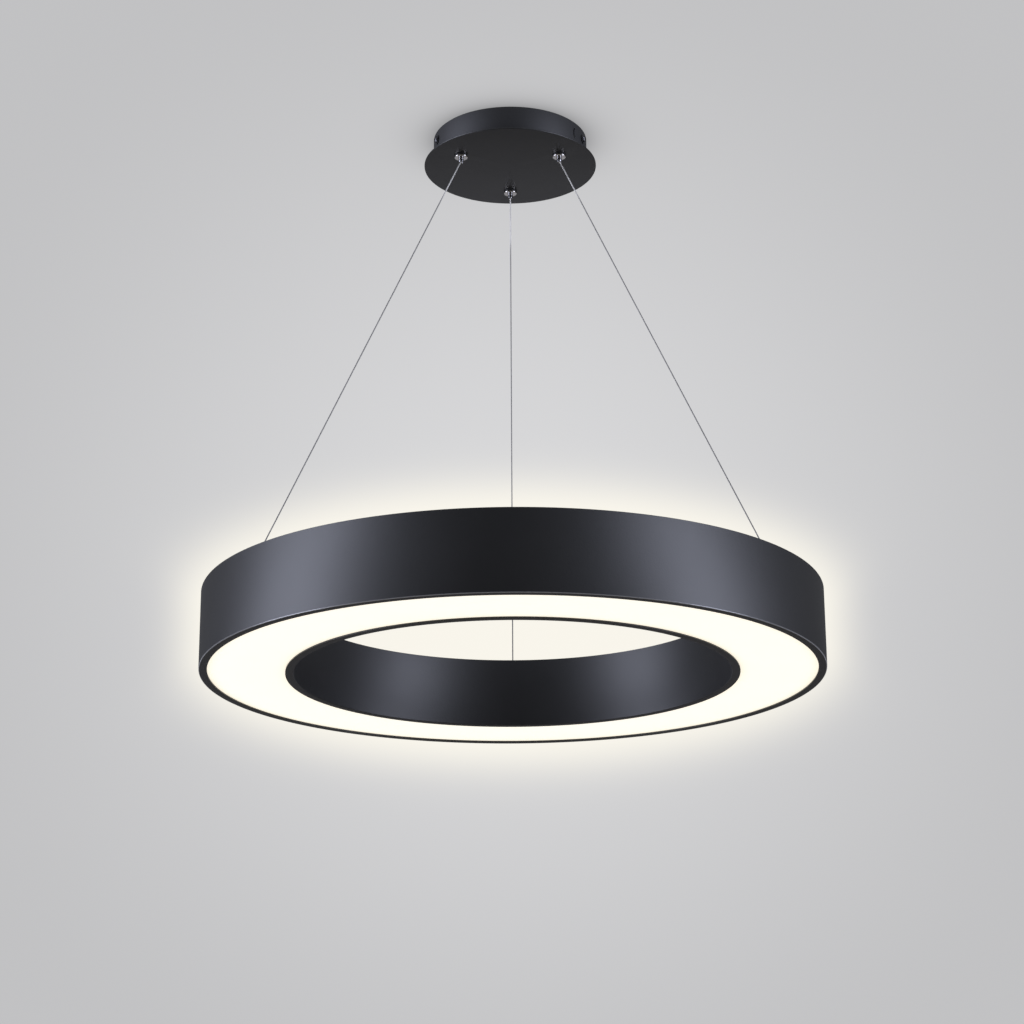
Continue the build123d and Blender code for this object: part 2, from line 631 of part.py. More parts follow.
def post_seats():
    """Thickness of what each welded stud holds down."""
    return (DRIVER_EAR_T, DRIVER_EAR_T, TERMINAL_WELL_FLOOR, LUG_T)


def stud_nuts():
    """Nuts on the welded studs."""
    nuts = []
    for (x, y), seat in zip(post_places(), post_seats()):
        low = DRUM_BOTTOM + seat
        nuts.append(Pos(x, y, 0) * hex_nut(NUT_M3_AF, M3 / 2 + RUN, low, low + NUT_M3_H))
    return nuts


def side_screw(azimuth):
    """Pan-head screw from outside through the washer and the drum into the bracket's ear."""
    seat = DRUM_R + RUN + WASHER_T
    tip = DRUM_R - DRUM_T - EAR_GAP - 3 * BRACKET_T
    shank = radial_rod(azimuth, SIDE_SCREW_Z, M4 / 2, tip, seat)
    return shank + Rot(0, 0, azimuth) * Pos(seat, 0, SIDE_SCREW_Z) * Rot(0, 90, 0) * pan_head()


def side_washer(azimuth):
    """Black nylon washer that guards the drum's paint."""
    seat = DRUM_R + RUN
    washer = radial_rod(azimuth, SIDE_SCREW_Z, WASHER_D / 2, seat, seat + WASHER_T)
    return washer - radial_rod(azimuth, SIDE_SCREW_Z, M4 / 2 + SCREW_HOLE_GAP, seat - 1, seat + WASHER_T + 1)


# ---------------------------------------------------------------- canopy contents
def driver_case():
    """Open plastic tray of the supply, with a screw ear at each end."""
    high = DRIVER_TOP - DRIVER_LID_T
    body = box(DRIVER_L, DRIVER_W, DRUM_BOTTOM, high)
    body = fillet(body.edges().filter_by(Axis.Z), DRIVER_WALL)
    body -= box(DRIVER_L - 2 * DRIVER_WALL, DRIVER_W - 2 * DRIVER_WALL, DRUM_BOTTOM + DRIVER_WALL, high)
    for side in (-1, 1):
        x = side * (DRIVER_L + DRIVER_EAR_L) / 2
        ear = Pos(x, 0, 0) * box(DRIVER_EAR_L, DRIVER_EAR_W, DRUM_BOTTOM, DRUM_BOTTOM + DRIVER_EAR_T)
        ear -= Pos(x, 0, 0) * tube(M3 / 2 + SCREW_HOLE_GAP, 0, DRUM_BOTTOM, DRUM_BOTTOM + DRIVER_EAR_T)
        body += ear
    return Pos(0, DRIVER_Y, 0) * body


def driver_cover():
    """Lid with a locating rim and a few cooling grooves on top."""
    low = DRIVER_TOP - DRIVER_LID_T
    inset = 2 * (DRIVER_WALL + FIT)
    wall = 2 * DRIVER_RIM_T
    body = box(DRIVER_L, DRIVER_W, low, DRIVER_TOP)
    body = fillet(body.edges().filter_by(Axis.Z), DRIVER_WALL)
    rim = box(DRIVER_L - inset, DRIVER_W - inset, low - DRIVER_RIM_H, low)
    rim -= box(DRIVER_L - inset - wall, DRIVER_W - inset - wall, low - DRIVER_RIM_H, low)
    body += rim
    groove = box(DRIVER_GROOVE_W, DRIVER_GROOVE_L, DRIVER_TOP - DRIVER_GROOVE_DEPTH, DRIVER_TOP)
    for index in range(DRIVER_GROOVES):
        body -= Pos((index - (DRIVER_GROOVES - 1) / 2) * DRIVER_GROOVE_PITCH, 0, 0) * groove
    return Pos(0, DRIVER_Y, 0) * body


def driver_board():
    """Circuit board on the case's floor with its transformer and its lying capacitor."""
    floor = DRUM_BOTTOM + DRIVER_WALL
    top = floor + DRIVER_BOARD_T
    inset = 2 * (DRIVER_WALL + FIT)
    length, width, height = COIL_SIZE
    body = box(DRIVER_L - inset, DRIVER_W - inset, floor, top)
    body += Pos(length, 0, 0) * box(length, width, top, top + height)
    capacitor = Rot(90, 0, 0) * Cylinder(CAPACITOR_D / 2, CAPACITOR_L)
    body += Pos(-length, 0, top + CAPACITOR_D / 2 - FIT) * capacitor
    return Pos(0, DRIVER_Y, 0) * body


def dc_lead(index):
    """Lead from a live wire's crimp over to the supply's lid."""
    route = tail_route(index)
    x, y, z = route[2]
    side = -1 if x < 0 else 1
    start = (x, y + SLEEVE_L, z)
    turn = (x, DRIVER_Y, z)
    over = (side * (DRIVER_L / 2 - LEAD_ENTRY_INSET), DRIVER_Y, z)
    end = (over[0], over[1], DRIVER_TOP)
    radius = 0.45 * min(over[2] - end[2], abs(turn[0] - over[0]))
    return pipe([start, turn, over, end], LEAD_D, [radius, radius])


def terminal_block():
    """Three-pole screw terminal with funnel mouths on both long sides."""
    body = box(TERMINAL_L, TERMINAL_W, DRUM_BOTTOM, DRUM_BOTTOM + TERMINAL_H)
    floor = DRUM_BOTTOM + TERMINAL_WELL_FLOOR
    body -= box(TERMINAL_WELL, TERMINAL_WELL, floor, DRUM_BOTTOM + TERMINAL_H)
    body -= tube(M3 / 2 + SCREW_HOLE_GAP, 0, DRUM_BOTTOM, floor)
    mouth = Rot(90, 0, 0) * Cylinder(LEAD_D / 2 + FIT, 2 * TERMINAL_MOUTH_L)
    shaft = tube(M3 / 2 + FIT, 0, DRUM_BOTTOM + TERMINAL_SCREW_H, DRUM_BOTTOM + TERMINAL_H)
    for x in terminal_xs():
        for side in (-1, 1):
            body -= Pos(x, side * TERMINAL_W / 2, MOUTH_Z) * mouth
            body -= Pos(x, side * TERMINAL_SCREW_ROW, 0) * shaft
    return Pos(0, TERMINAL_Y, 0) * body


def terminal_xs():
    """Positions of the poles along the terminal block."""
    pitch = TERMINAL_L / TERMINAL_POLES
    return [pitch * (pole - (TERMINAL_POLES - 1) / 2) for pole in range(TERMINAL_POLES)]


def terminal_screws():
    """Slotted clamp screws in the terminal block."""
    screws = []
    low = DRUM_BOTTOM + TERMINAL_SCREW_H
    screw = tube(M3 / 2, 0, low, low + M3) - box(2 * M3, RECESS_W, low + M3 - RECESS_DEPTH, low + M3)
    for x in terminal_xs():
        for side in (-1, 1):
            screws.append(Pos(x, TERMINAL_Y + side * TERMINAL_SCREW_ROW, 0) * screw)
    return screws


def mains_leads():
    """Live and neutral from the terminal block to the supply, and the earth to its lug."""
    y_from = TERMINAL_Y + TERMINAL_W / 2 - TERMINAL_MOUTH_L
    y_to = DRIVER_Y - DRIVER_W / 2
    leads = []
    for x in terminal_xs()[:2]:
        rod = Cylinder(LEAD_D / 2, y_to - y_from, align=(Align.CENTER, Align.CENTER, Align.MIN))
        leads.append(Pos(x, y_from, MOUTH_Z) * Rot(-90, 0, 0) * rod)
    x_earth = terminal_xs()[-1]
    x_lug, y_lug = EARTH_POST_XY
    route = [(x_earth, y_from, MOUTH_Z), (x_earth, EARTH_LEAD_Y, MOUTH_Z),
             (x_lug, EARTH_LEAD_Y, LUG_Z), (x_lug, y_lug + LUG_REACH + LUG_BARREL_L, LUG_Z)]
    leads.append(pipe(route, LEAD_D, [EARTH_BEND_R, EARTH_BEND_R]))
    return leads


def earth_lug():
    """Ring lug under the earth stud's nut, with its crimped barrel."""
    eye = tube(LUG_D / 2, M3 / 2 + SCREW_HOLE_GAP, DRUM_BOTTOM, DRUM_BOTTOM + LUG_T)
    neck = box(LUG_BARREL_D, LUG_BARREL_L, DRUM_BOTTOM, DRUM_BOTTOM + LUG_T)
    neck = Pos(0, LUG_REACH, 0) * neck
    barrel = Cylinder(LUG_BARREL_D / 2, LUG_BARREL_L, align=(Align.CENTER, Align.CENTER, Align.MIN))
    barrel = Pos(0, LUG_REACH, LUG_Z) * Rot(-90, 0, 0) * barrel
    return Pos(*EARTH_POST_XY, 0) * (eye + neck + barrel)


# ---------------------------------------------------------------- build
def build_ring():
    """Everything that rises and falls together."""
    save("outer_band", outer_band())
    save("inner_band", inner_band())
    save("diffuser", diffuser())
    save("top_cover", top_cover())
    save("cover_screws", *cover_screws())
    save("led_tray", led_tray())
    save("tray_screws", *tray_screws())
    save("led_chips", *led_chips())
    save("ring_leads", *ring_leads())
    for index, azimuth in enumerate(BRIDGE_AZ):
        anchored = any(abs(azimuth - wire) < 1 for wire in WIRE_AZ)
        save(f"ring_bridge_{index + 1}", bridge(azimuth, anchored))
        save(f"led_board_{index + 1}", led_board(azimuth))
    save("anchor_sockets", *[anchor_socket(azimuth) for azimuth in WIRE_AZ])
    save("anchor_bushes", *[piece for azimuth in WIRE_AZ for piece in anchor_bush(azimuth)])
    save("anchor_studs", *[anchor_stud(azimuth) for azimuth in WIRE_AZ])
    save("anchor_nuts", *[anchor_nut(azimuth) for azimuth in WIRE_AZ])
    save("wire_balls", *[wire_ball(azimuth) for azimuth in WIRE_AZ])


def build_suspension():
    """Wires and grippers."""
    for index, azimuth in enumerate(WIRE_AZ):
        number = index + 1
        save(f"suspension_wire_{number}", suspension_wire(azimuth))
        save(f"gripper_body_{number}", at(azimuth, GRIPPER_PITCH_R, gripper_body()))
        save(f"gripper_plunger_{number}", at(azimuth, GRIPPER_PITCH_R, gripper_plunger()))
        save(f"gripper_balls_{number}", *[at(azimuth, GRIPPER_PITCH_R, ball) for ball in gripper_balls()])
        save(f"gripper_spring_{number}", at(azimuth, GRIPPER_PITCH_R, gripper_spring()))
    bushes = [at(azimuth, GRIPPER_PITCH_R, piece) for azimuth in WIRE_AZ for piece in gripper_bush()]
    save("gripper_bushes", *bushes)
    save("gripper_caps", *[at(azimuth, GRIPPER_PITCH_R, gripper_cap()) for azimuth in WIRE_AZ])
    save("gripper_nuts", *[at(azimuth, GRIPPER_PITCH_R, gripper_nut()) for azimuth in WIRE_AZ])
    save("wire_tails", *[wire_tail(index) for index in range(WIRE_COUNT)])
    save("crimp_sleeves", *[crimp_sleeve(index) for index in range(WIRE_COUNT)])


def build_canopy():
    """Ceiling bracket, canopy and what it holds."""
    save("ceiling_bracket", ceiling_bracket())
    save("canopy_drum", canopy_drum())
    save("canopy_plate", canopy_plate())
    save("stud_nuts", *stud_nuts())
    save("side_screws", *[side_screw(azimuth) for azimuth in SIDE_SCREW_AZ])
    save("side_washers", *[side_washer(azimuth) for azimuth in SIDE_SCREW_AZ])
    save("driver_case", driver_case())
    save("driver_cover", driver_cover())
    save("driver_board", driver_board())
    save("dc_leads", *[dc_lead(index) for index in range(2)])
    save("terminal_block", terminal_block())
    save("terminal_screws", *terminal_screws())
    save("mains_leads", *mains_leads())
    save("earth_lug", earth_lug())


os.makedirs("parts", exist_ok=True)
build_ring()
build_suspension()
build_canopy()
print("wire free length", round(hypot(WIRE_RUN, BEND_Z - WIRE_BALL_Z), 1))
print("wire keeps", round(1 - WIRE_TRAVEL / (BEND_Z - WIRE_BALL_Z), 4), "of its height at full travel")
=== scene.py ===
"""Ring pendant lamp: smooth turned parts, twisted wires, finishes and a small studio.

Everything is in metres in the frame of the packed model: the ceiling is z = 0 and the lamp hangs below it.
"""
import json
from math import cos, pi, radians, sin, tan

import bpy
from mathutils import Matrix, Vector


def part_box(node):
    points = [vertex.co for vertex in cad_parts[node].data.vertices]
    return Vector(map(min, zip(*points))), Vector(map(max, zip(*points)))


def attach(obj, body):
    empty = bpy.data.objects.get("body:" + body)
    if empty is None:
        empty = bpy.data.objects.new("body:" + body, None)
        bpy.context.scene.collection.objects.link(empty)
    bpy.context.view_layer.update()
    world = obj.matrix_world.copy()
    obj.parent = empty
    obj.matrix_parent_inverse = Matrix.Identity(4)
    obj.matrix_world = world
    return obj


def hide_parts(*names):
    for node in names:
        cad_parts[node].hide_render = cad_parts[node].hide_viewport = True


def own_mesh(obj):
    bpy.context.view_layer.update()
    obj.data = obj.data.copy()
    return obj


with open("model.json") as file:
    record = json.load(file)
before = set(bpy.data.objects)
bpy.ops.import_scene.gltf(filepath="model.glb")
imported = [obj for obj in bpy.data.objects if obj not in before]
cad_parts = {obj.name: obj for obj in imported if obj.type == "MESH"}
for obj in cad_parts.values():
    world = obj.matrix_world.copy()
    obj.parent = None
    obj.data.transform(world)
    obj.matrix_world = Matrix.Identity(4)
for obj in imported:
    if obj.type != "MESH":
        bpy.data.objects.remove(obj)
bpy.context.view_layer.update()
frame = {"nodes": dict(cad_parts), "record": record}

bl_info = {
    "name": "Ring pendant lamp",
    "version": (1, 0, 0),
    "blender": (4, 5, 0),
    "location": "View3D > Sidebar > Ring lamp",
    "description": "Turned parts, twisted wires, finishes and studio for a ring pendant lamp",
    "category": "Object",
}

MM = 0.001
WIRE_TURNS = [radians(-150 + 120 * index) for index in range(3)]
SCREW_TURNS = [radians(-20), radians(90), radians(200)]
THROUGH = 6 * MM    # length of a cutter that goes through any sheet


def low(node):
    """Lowest corner of a CAD node."""
    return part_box(node)[0]


def high(node):
    """Highest corner of a CAD node."""
    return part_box(node)[1]


def length(label, words, value):
    """A length that can be changed in the sidebar."""
    return bpy.props.FloatProperty(name=label, description=words, default=value, min=0.0,
                                   unit="LENGTH", precision=5)


def height(label, words, value):
    """A height in the lamp's frame, below the ceiling."""
    return bpy.props.FloatProperty(name=label, description=words, default=value, unit="LENGTH", precision=5)


def share(label, words, value):
    """A plain share or factor."""
    return bpy.props.FloatProperty(name=label, description=words, default=value, min=0.0, precision=3)


def colour(label, words, value):
    """A linear colour."""
    return bpy.props.FloatVectorProperty(name=label, description=words, default=value,
                                         size=3, subtype="COLOR", min=0.0, max=1.0)


# ---------------------------------------------------------------- what can be changed
class RingSizes(bpy.types.PropertyGroup):
    """Sizes of the two bands and the diffuser."""
    outer_radius: length("Outer radius", "Outside of the outer band", high("outer_band")[0])
    hole_radius: length("Hole radius", "Inside of the inner band", 210 * MM)
    top: height("Top", "Upper edge of the outer band", high("outer_band")[2])
    bottom: height("Bottom", "Underside of both lips", low("outer_band")[2])
    inner_top: height("Inner top", "Upper edge of the inner band", high("inner_band")[2])
    sheet: length("Sheet", "Thickness of both bands", 1.5 * MM)
    lip_width: length("Lip width", "Reach of each lip under the diffuser", 8 * MM)
    corner: length("Corner radius", "Rounding of the lower outer corners", 0.8 * MM)
    edge: length("Edge radius", "Rounding of the free edges", 0.4 * MM)
    fit: length("Fit", "Gap between the diffuser and the bands", 0.1 * MM)


class CanopySizes(bpy.types.PropertyGroup):
    """Sizes of the drum and the plate under it."""
    drum_radius: length("Drum radius", "Outside of the drum", high("canopy_drum")[0])
    drum_sheet: length("Drum sheet", "Thickness of the drum's wall", 1.2 * MM)
    drum_flange: length("Drum flange", "Width of the drum's turned-in flange", 9 * MM)
    drum_top: height("Drum top", "Upper edge of the drum", high("canopy_drum")[2])
    drum_bottom: height("Drum bottom", "Lower face of the drum", low("canopy_drum")[2])
    plate_radius: length("Plate radius", "Outside of the plate", high("canopy_plate")[0])
    plate_bottom: height("Plate bottom", "Lower face of the plate", low("canopy_plate")[2])
    screw_depth: length("Screw depth", "Side screws below the ceiling", 11 * MM)
    screw_hole: length("Screw hole", "Radius of a side screw's hole", 2.2 * MM)
    gripper_hole: length("Gripper hole", "Radius of a gripper's hole in the plate", 6.1 * MM)
    slot_depth: length("Slot depth", "Middle of the side slot below the ceiling", 12.8 * MM)
    slot_width: length("Slot width", "Width of the side slot", 3.4 * MM)
    slot_length: length("Slot length", "Height of the side slot", 11.8 * MM)
    slot_turn: bpy.props.FloatProperty(name="Slot turn", description="Direction of the side slot",
                                       default=radians(-34), subtype="ANGLE")


class RopeSizes(bpy.types.PropertyGroup):
    """Sizes of the twisted wires and their grippers."""
    diameter: length("Diameter", "Wire rope across its strands", 1.2 * MM)
    lay: length("Lay", "Length of one turn of a strand", 8 * MM)
    strands: bpy.props.IntProperty(name="Strands", description="Strands round the core",
                                   default=6, min=3, max=12)
    top_radius: length("Top radius", "Distance of the grippers from the lamp's axis", 57.5 * MM)
    low_radius: length("Low radius", "Distance of the ring's sockets from the axis", 272 * MM)
    top: height("Top", "Where the wire leaves the nozzle", high("suspension_wire_1")[2])
    ball: height("Ball", "Middle of the ball on the wire's lower end", -488.7 * MM)
    ball_radius: length("Ball radius", "Ball on the wire's lower end", 2.5 * MM)


class GripperSizes(bpy.types.PropertyGroup):
    """Sizes of the grippers' barrels and nozzles."""
    flange: length("Flange radius", "Flange under the plate", 6.75 * MM)
    flange_bottom: height("Flange bottom", "Lower face of the flange", low("gripper_body_1")[2])
    flange_top: height("Flange top", "Upper face of the flange", -30.3 * MM)
    barrel: length("Barrel radius", "Barrel over its thread", 4.9 * MM)
    barrel_top: height("Barrel top", "Upper end of the barrel", high("gripper_body_1")[2])
    thread_bottom: height("Thread bottom", "Where the barrel's thread begins", -27.4 * MM)
    guide: length("Guide radius", "Bore that guides the nozzle", 2.65 * MM)
    cone_bottom: height("Cone bottom", "Narrow end of the clamping cone", -28.0 * MM)
    cone_top: height("Cone top", "Wide end of the clamping cone", -17.3 * MM)
    balls: height("Balls", "Middle of the clamping balls", -25.6 * MM)
    ball_wall: length("Ball wall", "Radius of the cone beside the balls", 3.112 * MM)
    ball_circle: length("Ball circle", "Radius that the balls stand on", 1.9 * MM)
    ball_window: length("Ball window", "Radius of a ball's window in the cage", 1.25 * MM)
    nozzle: length("Nozzle radius", "Outside of the nozzle", 2.6 * MM)
    nozzle_tip: height("Nozzle tip", "Lower end of the nozzle", low("gripper_plunger_1")[2])
    nozzle_top: height("Nozzle top", "Upper end of the ball cage", high("gripper_plunger_1")[2])
    bore: length("Bore radius", "Bore that the wire runs through", 1.0 * MM)
    flare: length("Flare radius", "Mouth of the nozzle", 2.2 * MM)


class FinishColours(bpy.types.PropertyGroup):
    """Colours that set the lamp's look."""
    coat: colour("Coat", "Satin black powder coat", (0.0034, 0.0034, 0.0038))
    glow: colour("Glow", "Light of the diffuser", (1.0, 0.945, 0.80))
    glow_edge: colour("Glow edge", "Light of the diffuser near its rims", (1.0, 0.915, 0.735))
    glow_level: share("Glow level", "Strength of the diffuser's light", 0.86)
    nickel: colour("Nickel", "Plated grippers", (0.56, 0.54, 0.52))
    wire: colour("Wire", "Steel of the wires", (0.56, 0.545, 0.51))


class StudioSettings(bpy.types.PropertyGroup):
    """Backdrop, halo and lamps."""
    grey: colour("Grey", "Outer grey of the backdrop", (0.536, 0.536, 0.546))
    # Lighter grey behind the lamp: a painted pool of light on the backdrop.
    grey_centre: colour("Centre grey", "Grey behind the lamp", (0.682, 0.682, 0.694))
    halo: colour("Halo", "Warm light round the ring", (0.975, 0.942, 0.852))
    floor: colour("Floor", "Pale floor", (0.54, 0.485, 0.38))
    left_power: share("Left power", "Left soft box, in watts", 114.0)
    right_power: share("Right power", "Right soft box, in watts", 88.0)
    back_power: share("Back power", "Low soft box behind the lamp, in watts", 8.5)
    top_power: share("Top power", "Soft box high above the lamp, in watts", 12.0)
    fill: share("Fill", "Even light from all sides", 0.09)
    mirrored: share("Mirrored", "Share of the pale background that shows in gloss and glass", 0.15)


# ---------------------------------------------------------------- modelling by hand
def start_clean():
    """Object mode with nothing selected."""
    if bpy.context.object and bpy.context.object.mode != "OBJECT":
        bpy.ops.object.mode_set(mode="OBJECT")
    bpy.ops.object.select_all(action="DESELECT")


def pick(piece):
    """Only this object selected and active."""
    start_clean()
    piece.select_set(True)
    bpy.context.view_layer.objects.active = piece
    return piece


def named(name):
    """Names the object that was just added, and its mesh."""
    piece = bpy.context.object
    piece.name = name
    piece.data.name = name
    return piece


def softened(outline, steps=4):
    """Outline of (radius, height, rounding) corners with each rounding as a short arc."""
    points = []
    for index, (r, z, size) in enumerate(outline):
        corner = Vector((r, z))
        if not size:
            points.append((r, z))
            continue
        back = (Vector(outline[index - 1][:2]) - corner).normalized()
        ahead = (Vector(outline[(index + 1) % len(outline)][:2]) - corner).normalized()
        half = back.angle(ahead) / 2
        middle = corner + (back + ahead).normalized() * (size / sin(half))
        first = (corner + back * (size / tan(half)) - middle).normalized()
        last = (corner + ahead * (size / tan(half)) - middle).normalized()
        for step in range(steps + 1):
            spot = middle + first.slerp(last, step / steps) * size
            points.append((spot.x, spot.y))
    return points


def turned(name, outline, centre=(0.0, 0.0), steps=64, angle=32):
    """Turned piece: a vertex is pushed along the outline, and the outline is spun round an upright axis."""
    start_clean()
    x, y = centre
    solid = outline[0][0] == 0 and outline[-1][0] == 0
    r, z = outline[0]
    bpy.ops.mesh.primitive_plane_add(size=MM, location=(x + r, y, z))
    piece = named(name)
    bpy.ops.object.mode_set(mode="EDIT")
    bpy.ops.mesh.select_all(action="SELECT")
    bpy.ops.mesh.merge(type="CENTER")
    follow = outline[1:] if solid else outline[1:] + outline[:1]
    for r_next, z_next in follow:
        bpy.ops.mesh.extrude_vertices_move(TRANSFORM_OT_translate={"value": (r_next - r, 0, z_next - z)})
        r, z = r_next, z_next
    bpy.ops.mesh.select_all(action="SELECT")
    bpy.ops.mesh.remove_doubles(threshold=1e-6)
    bpy.ops.mesh.select_all(action="SELECT")
    bpy.ops.mesh.spin(steps=steps, angle=2 * pi, center=(x, y, 0), axis=(0, 0, 1))
    bpy.ops.mesh.select_all(action="SELECT")
    bpy.ops.mesh.remove_doubles(threshold=1e-6)
    bpy.ops.mesh.normals_make_consistent(inside=False)
    bpy.ops.object.mode_set(mode="OBJECT")
    return smoothed(rooted(piece), angle)


def rooted(piece):
    """The object back at the origin with its place in its mesh."""
    pick(piece)
    bpy.ops.object.transform_apply(location=True, rotation=True, scale=True)
    return piece


def smoothed(piece, angle=32):
    """Smooth shading with sharp edges above an angle."""
    pick(piece)
    bpy.ops.object.shade_smooth_by_angle(angle=radians(angle))
    return piece


def shifted(piece, name, dx, dy, dz=0.0):
    """Copy with its own mesh, moved along."""
    pick(piece)
    bpy.ops.object.duplicate()
    twin = named(name)
    bpy.ops.transform.translate(value=(dx, dy, dz))
    return rooted(twin)


def swung(piece, name, turn):
    """Copy with its own mesh, swung round the lamp's axis."""
    pick(piece)
    bpy.ops.object.duplicate()
    twin = named(name)
    twin.rotation_euler.z = turn
    return rooted(twin)


def joined(name, *pieces):
    """Several pieces as one mesh."""
    pick(pieces[0])
    for piece in pieces[1:]:
        piece.select_set(True)
    bpy.ops.object.join()
    return named(name)


def select_where(piece, chosen):
    """Selects the vertices that pass a test, and the edges and faces between them."""
    mesh = piece.data
    for vertex in mesh.vertices:
        vertex.select = chosen(vertex.co)
    for part in (*mesh.edges, *mesh.polygons):
        part.select = all(mesh.vertices[index].select for index in part.vertices)


def cut(piece, *tools):
    """Cuts the tools out of the piece and takes them away."""
    for tool in tools:
        pick(piece)
        bpy.ops.object.modifier_add(type="BOOLEAN")
        knife = piece.modifiers[-1]
        knife.operation = "DIFFERENCE"
        knife.solver = "EXACT"
        knife.object = tool
        bpy.ops.object.modifier_apply(modifier=knife.name)
        pick(tool)
        bpy.ops.object.delete()
    return piece


def hole_tool(radius, middle, depth, turn=0.0, lying=False, sides=48):
    """Round cutter, upright or along a radius of the lamp."""
    start_clean()
    x, y, z = middle
    bpy.ops.mesh.primitive_cylinder_add(vertices=sides, radius=radius, depth=depth, location=(x, y, z),
                                        rotation=(0, radians(90) if lying else 0, turn))
    return rooted(named("cutter"))


def at_turn(radius, turn, z=0.0):
    """Point at a radius and direction."""
    return (radius * cos(turn), radius * sin(turn), z)


def settle(piece, body, slot, *nodes):
    """Gives a finished piece its finish, its body and the CAD nodes that it stands for."""
    piece.data.materials.clear()
    piece.data.materials.append(finish(slot))
    if nodes:
        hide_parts(*nodes)
    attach(piece, body)
    return piece


# ---------------------------------------------------------------- shader groups
def wire_up(tree, node, socket, value):
    """Links a socket or sets a plain number."""
    if isinstance(value, bpy.types.NodeSocket):
        tree.links.new(value, node.inputs[socket])
    else:
        node.inputs[socket].default_value = value


def maths(tree, operation, *values):
    """Math node on sockets and numbers."""
    node = tree.nodes.new("ShaderNodeMath")
    node.operation = operation
    for index, value in enumerate(values):
        wire_up(tree, node, index, value)
    return node.outputs[0]


def times(tree, first, second):
    """Product of two sockets or numbers."""
    return maths(tree, "MULTIPLY", first, second)


def plus(tree, first, second):
    """Sum of two sockets or numbers."""
    return maths(tree, "ADD", first, second)


def blend_colours(tree, mask, first, second):
    """Mix of two colours by a mask."""
    node = tree.nodes.new("ShaderNodeMix")
    node.data_type = "RGBA"
    wire_up(tree, node, 0, mask)
    wire_up(tree, node, 6, first)
    wire_up(tree, node, 7, second)
    return node.outputs[2]


def noise(tree, vector, scale, detail=3.0, roughness=0.55, distortion=0.0):
    """Noise texture's value."""
    node = tree.nodes.new("ShaderNodeTexNoise")
    wire_up(tree, node, "Vector", vector)
    wire_up(tree, node, "Scale", scale)
    node.inputs["Detail"].default_value = detail
    node.inputs["Roughness"].default_value = roughness
    node.inputs["Distortion"].default_value = distortion
    return node.outputs["Fac"]


def ranged(tree, value, from_low, from_high, to_low, to_high):
    """Smooth map of a value from one range to another."""
    node = tree.nodes.new("ShaderNodeMapRange")
    node.interpolation_type = "SMOOTHSTEP"
    for index, item in enumerate((value, from_low, from_high, to_low, to_high)):
        wire_up(tree, node, index, item)
    return node.outputs[0]


def object_point(tree):
    """Object coordinates."""
    return tree.nodes.new("ShaderNodeTexCoord").outputs["Object"]


def object_xyz(tree):
    """Object coordinates as three numbers."""
    parts = tree.nodes.new("ShaderNodeSeparateXYZ")
    tree.links.new(object_point(tree), parts.inputs[0])
    return parts.outputs["X"], parts.outputs["Y"], parts.outputs["Z"]


def reach(tree, x, y):
    """Distance from the middle of x and y."""
    return maths(tree, "SQRT", plus(tree, times(tree, x, x), times(tree, y, y)))


def oval(tree, x, y, wide, tall):
    """Distance from the middle in shares of an ellipse."""
    return reach(tree, maths(tree, "DIVIDE", x, wide), maths(tree, "DIVIDE", y, tall))


def stretched(tree, scale):
    """Object coordinates stretched along the axes, for brushed or drawn surfaces."""
    node = tree.nodes.new("ShaderNodeMapping")
    tree.links.new(object_point(tree), node.inputs["Vector"])
    node.inputs["Scale"].default_value = scale
    return node.outputs[0]


def new_group(name, inputs, outputs):
    """Shader group with named sockets: (name, kind, default)."""
    group = bpy.data.node_groups.new(name, "ShaderNodeTree")
    for label, kind, default in inputs:
        socket = group.interface.new_socket(label, in_out="INPUT", socket_type=kind)
        socket.default_value = default
    for label, kind in outputs:
        group.interface.new_socket(label, in_out="OUTPUT", socket_type=kind)
    source = group.nodes.new("NodeGroupInput")
    sink = group.nodes.new("NodeGroupOutput")
    return group, source.outputs, sink


def fading(tree, gap, span):
    """Falls from 1 by a factor of e over each span of the gap."""
    return maths(tree, "EXPONENT", times(tree, gap, -1 / span))


def spread_gloss(group, pattern, source):
    """Roughness round the group's Gloss, moved by a pattern of 0 to 1 within its Spread."""
    off_middle = maths(group, "SUBTRACT", pattern, 0.5)
    return maths(group, "MULTIPLY_ADD", off_middle, source["Spread"], source["Gloss"])


FLOAT = "NodeSocketFloat"
COLOUR = "NodeSocketColor"


def coat_group():
    """Powder coat: a fine orange peel, broad clouds in its gloss and a breath of dust."""
    group, source, sink = new_group(
        "powder_coat",
        [("Colour", COLOUR, (0.02, 0.02, 0.02, 1)), ("Dust", COLOUR, (0.05, 0.048, 0.045, 1)),
         ("Dust amount", FLOAT, 0.1), ("Peel scale", FLOAT, 900.0), ("Gloss", FLOAT, 0.4),
         ("Spread", FLOAT, 0.05)],
        [("Colour", COLOUR), ("Roughness", FLOAT), ("Height", FLOAT)])
    point = object_point(group)
    peel = noise(group, point, source["Peel scale"], 2.0, 0.5)
    clouds = noise(group, point, 14.0, 3.0, 0.6)
    specks = ranged(group, noise(group, point, 420.0, 2.0, 0.7), 0.62, 0.74, 0.0, 1.0)
    dust = source["Dust amount"]
    veil = times(group, ranged(group, clouds, 0.35, 0.75, 0.2, 1.0), dust)
    mask = plus(group, veil, times(group, specks, times(group, dust, 0.6)))
    group.links.new(blend_colours(group, mask, source["Colour"], source["Dust"]), sink.inputs["Colour"])
    rough = spread_gloss(group, clouds, source)
    group.links.new(rough, sink.inputs["Roughness"])
    group.links.new(peel, sink.inputs["Height"])
    return group


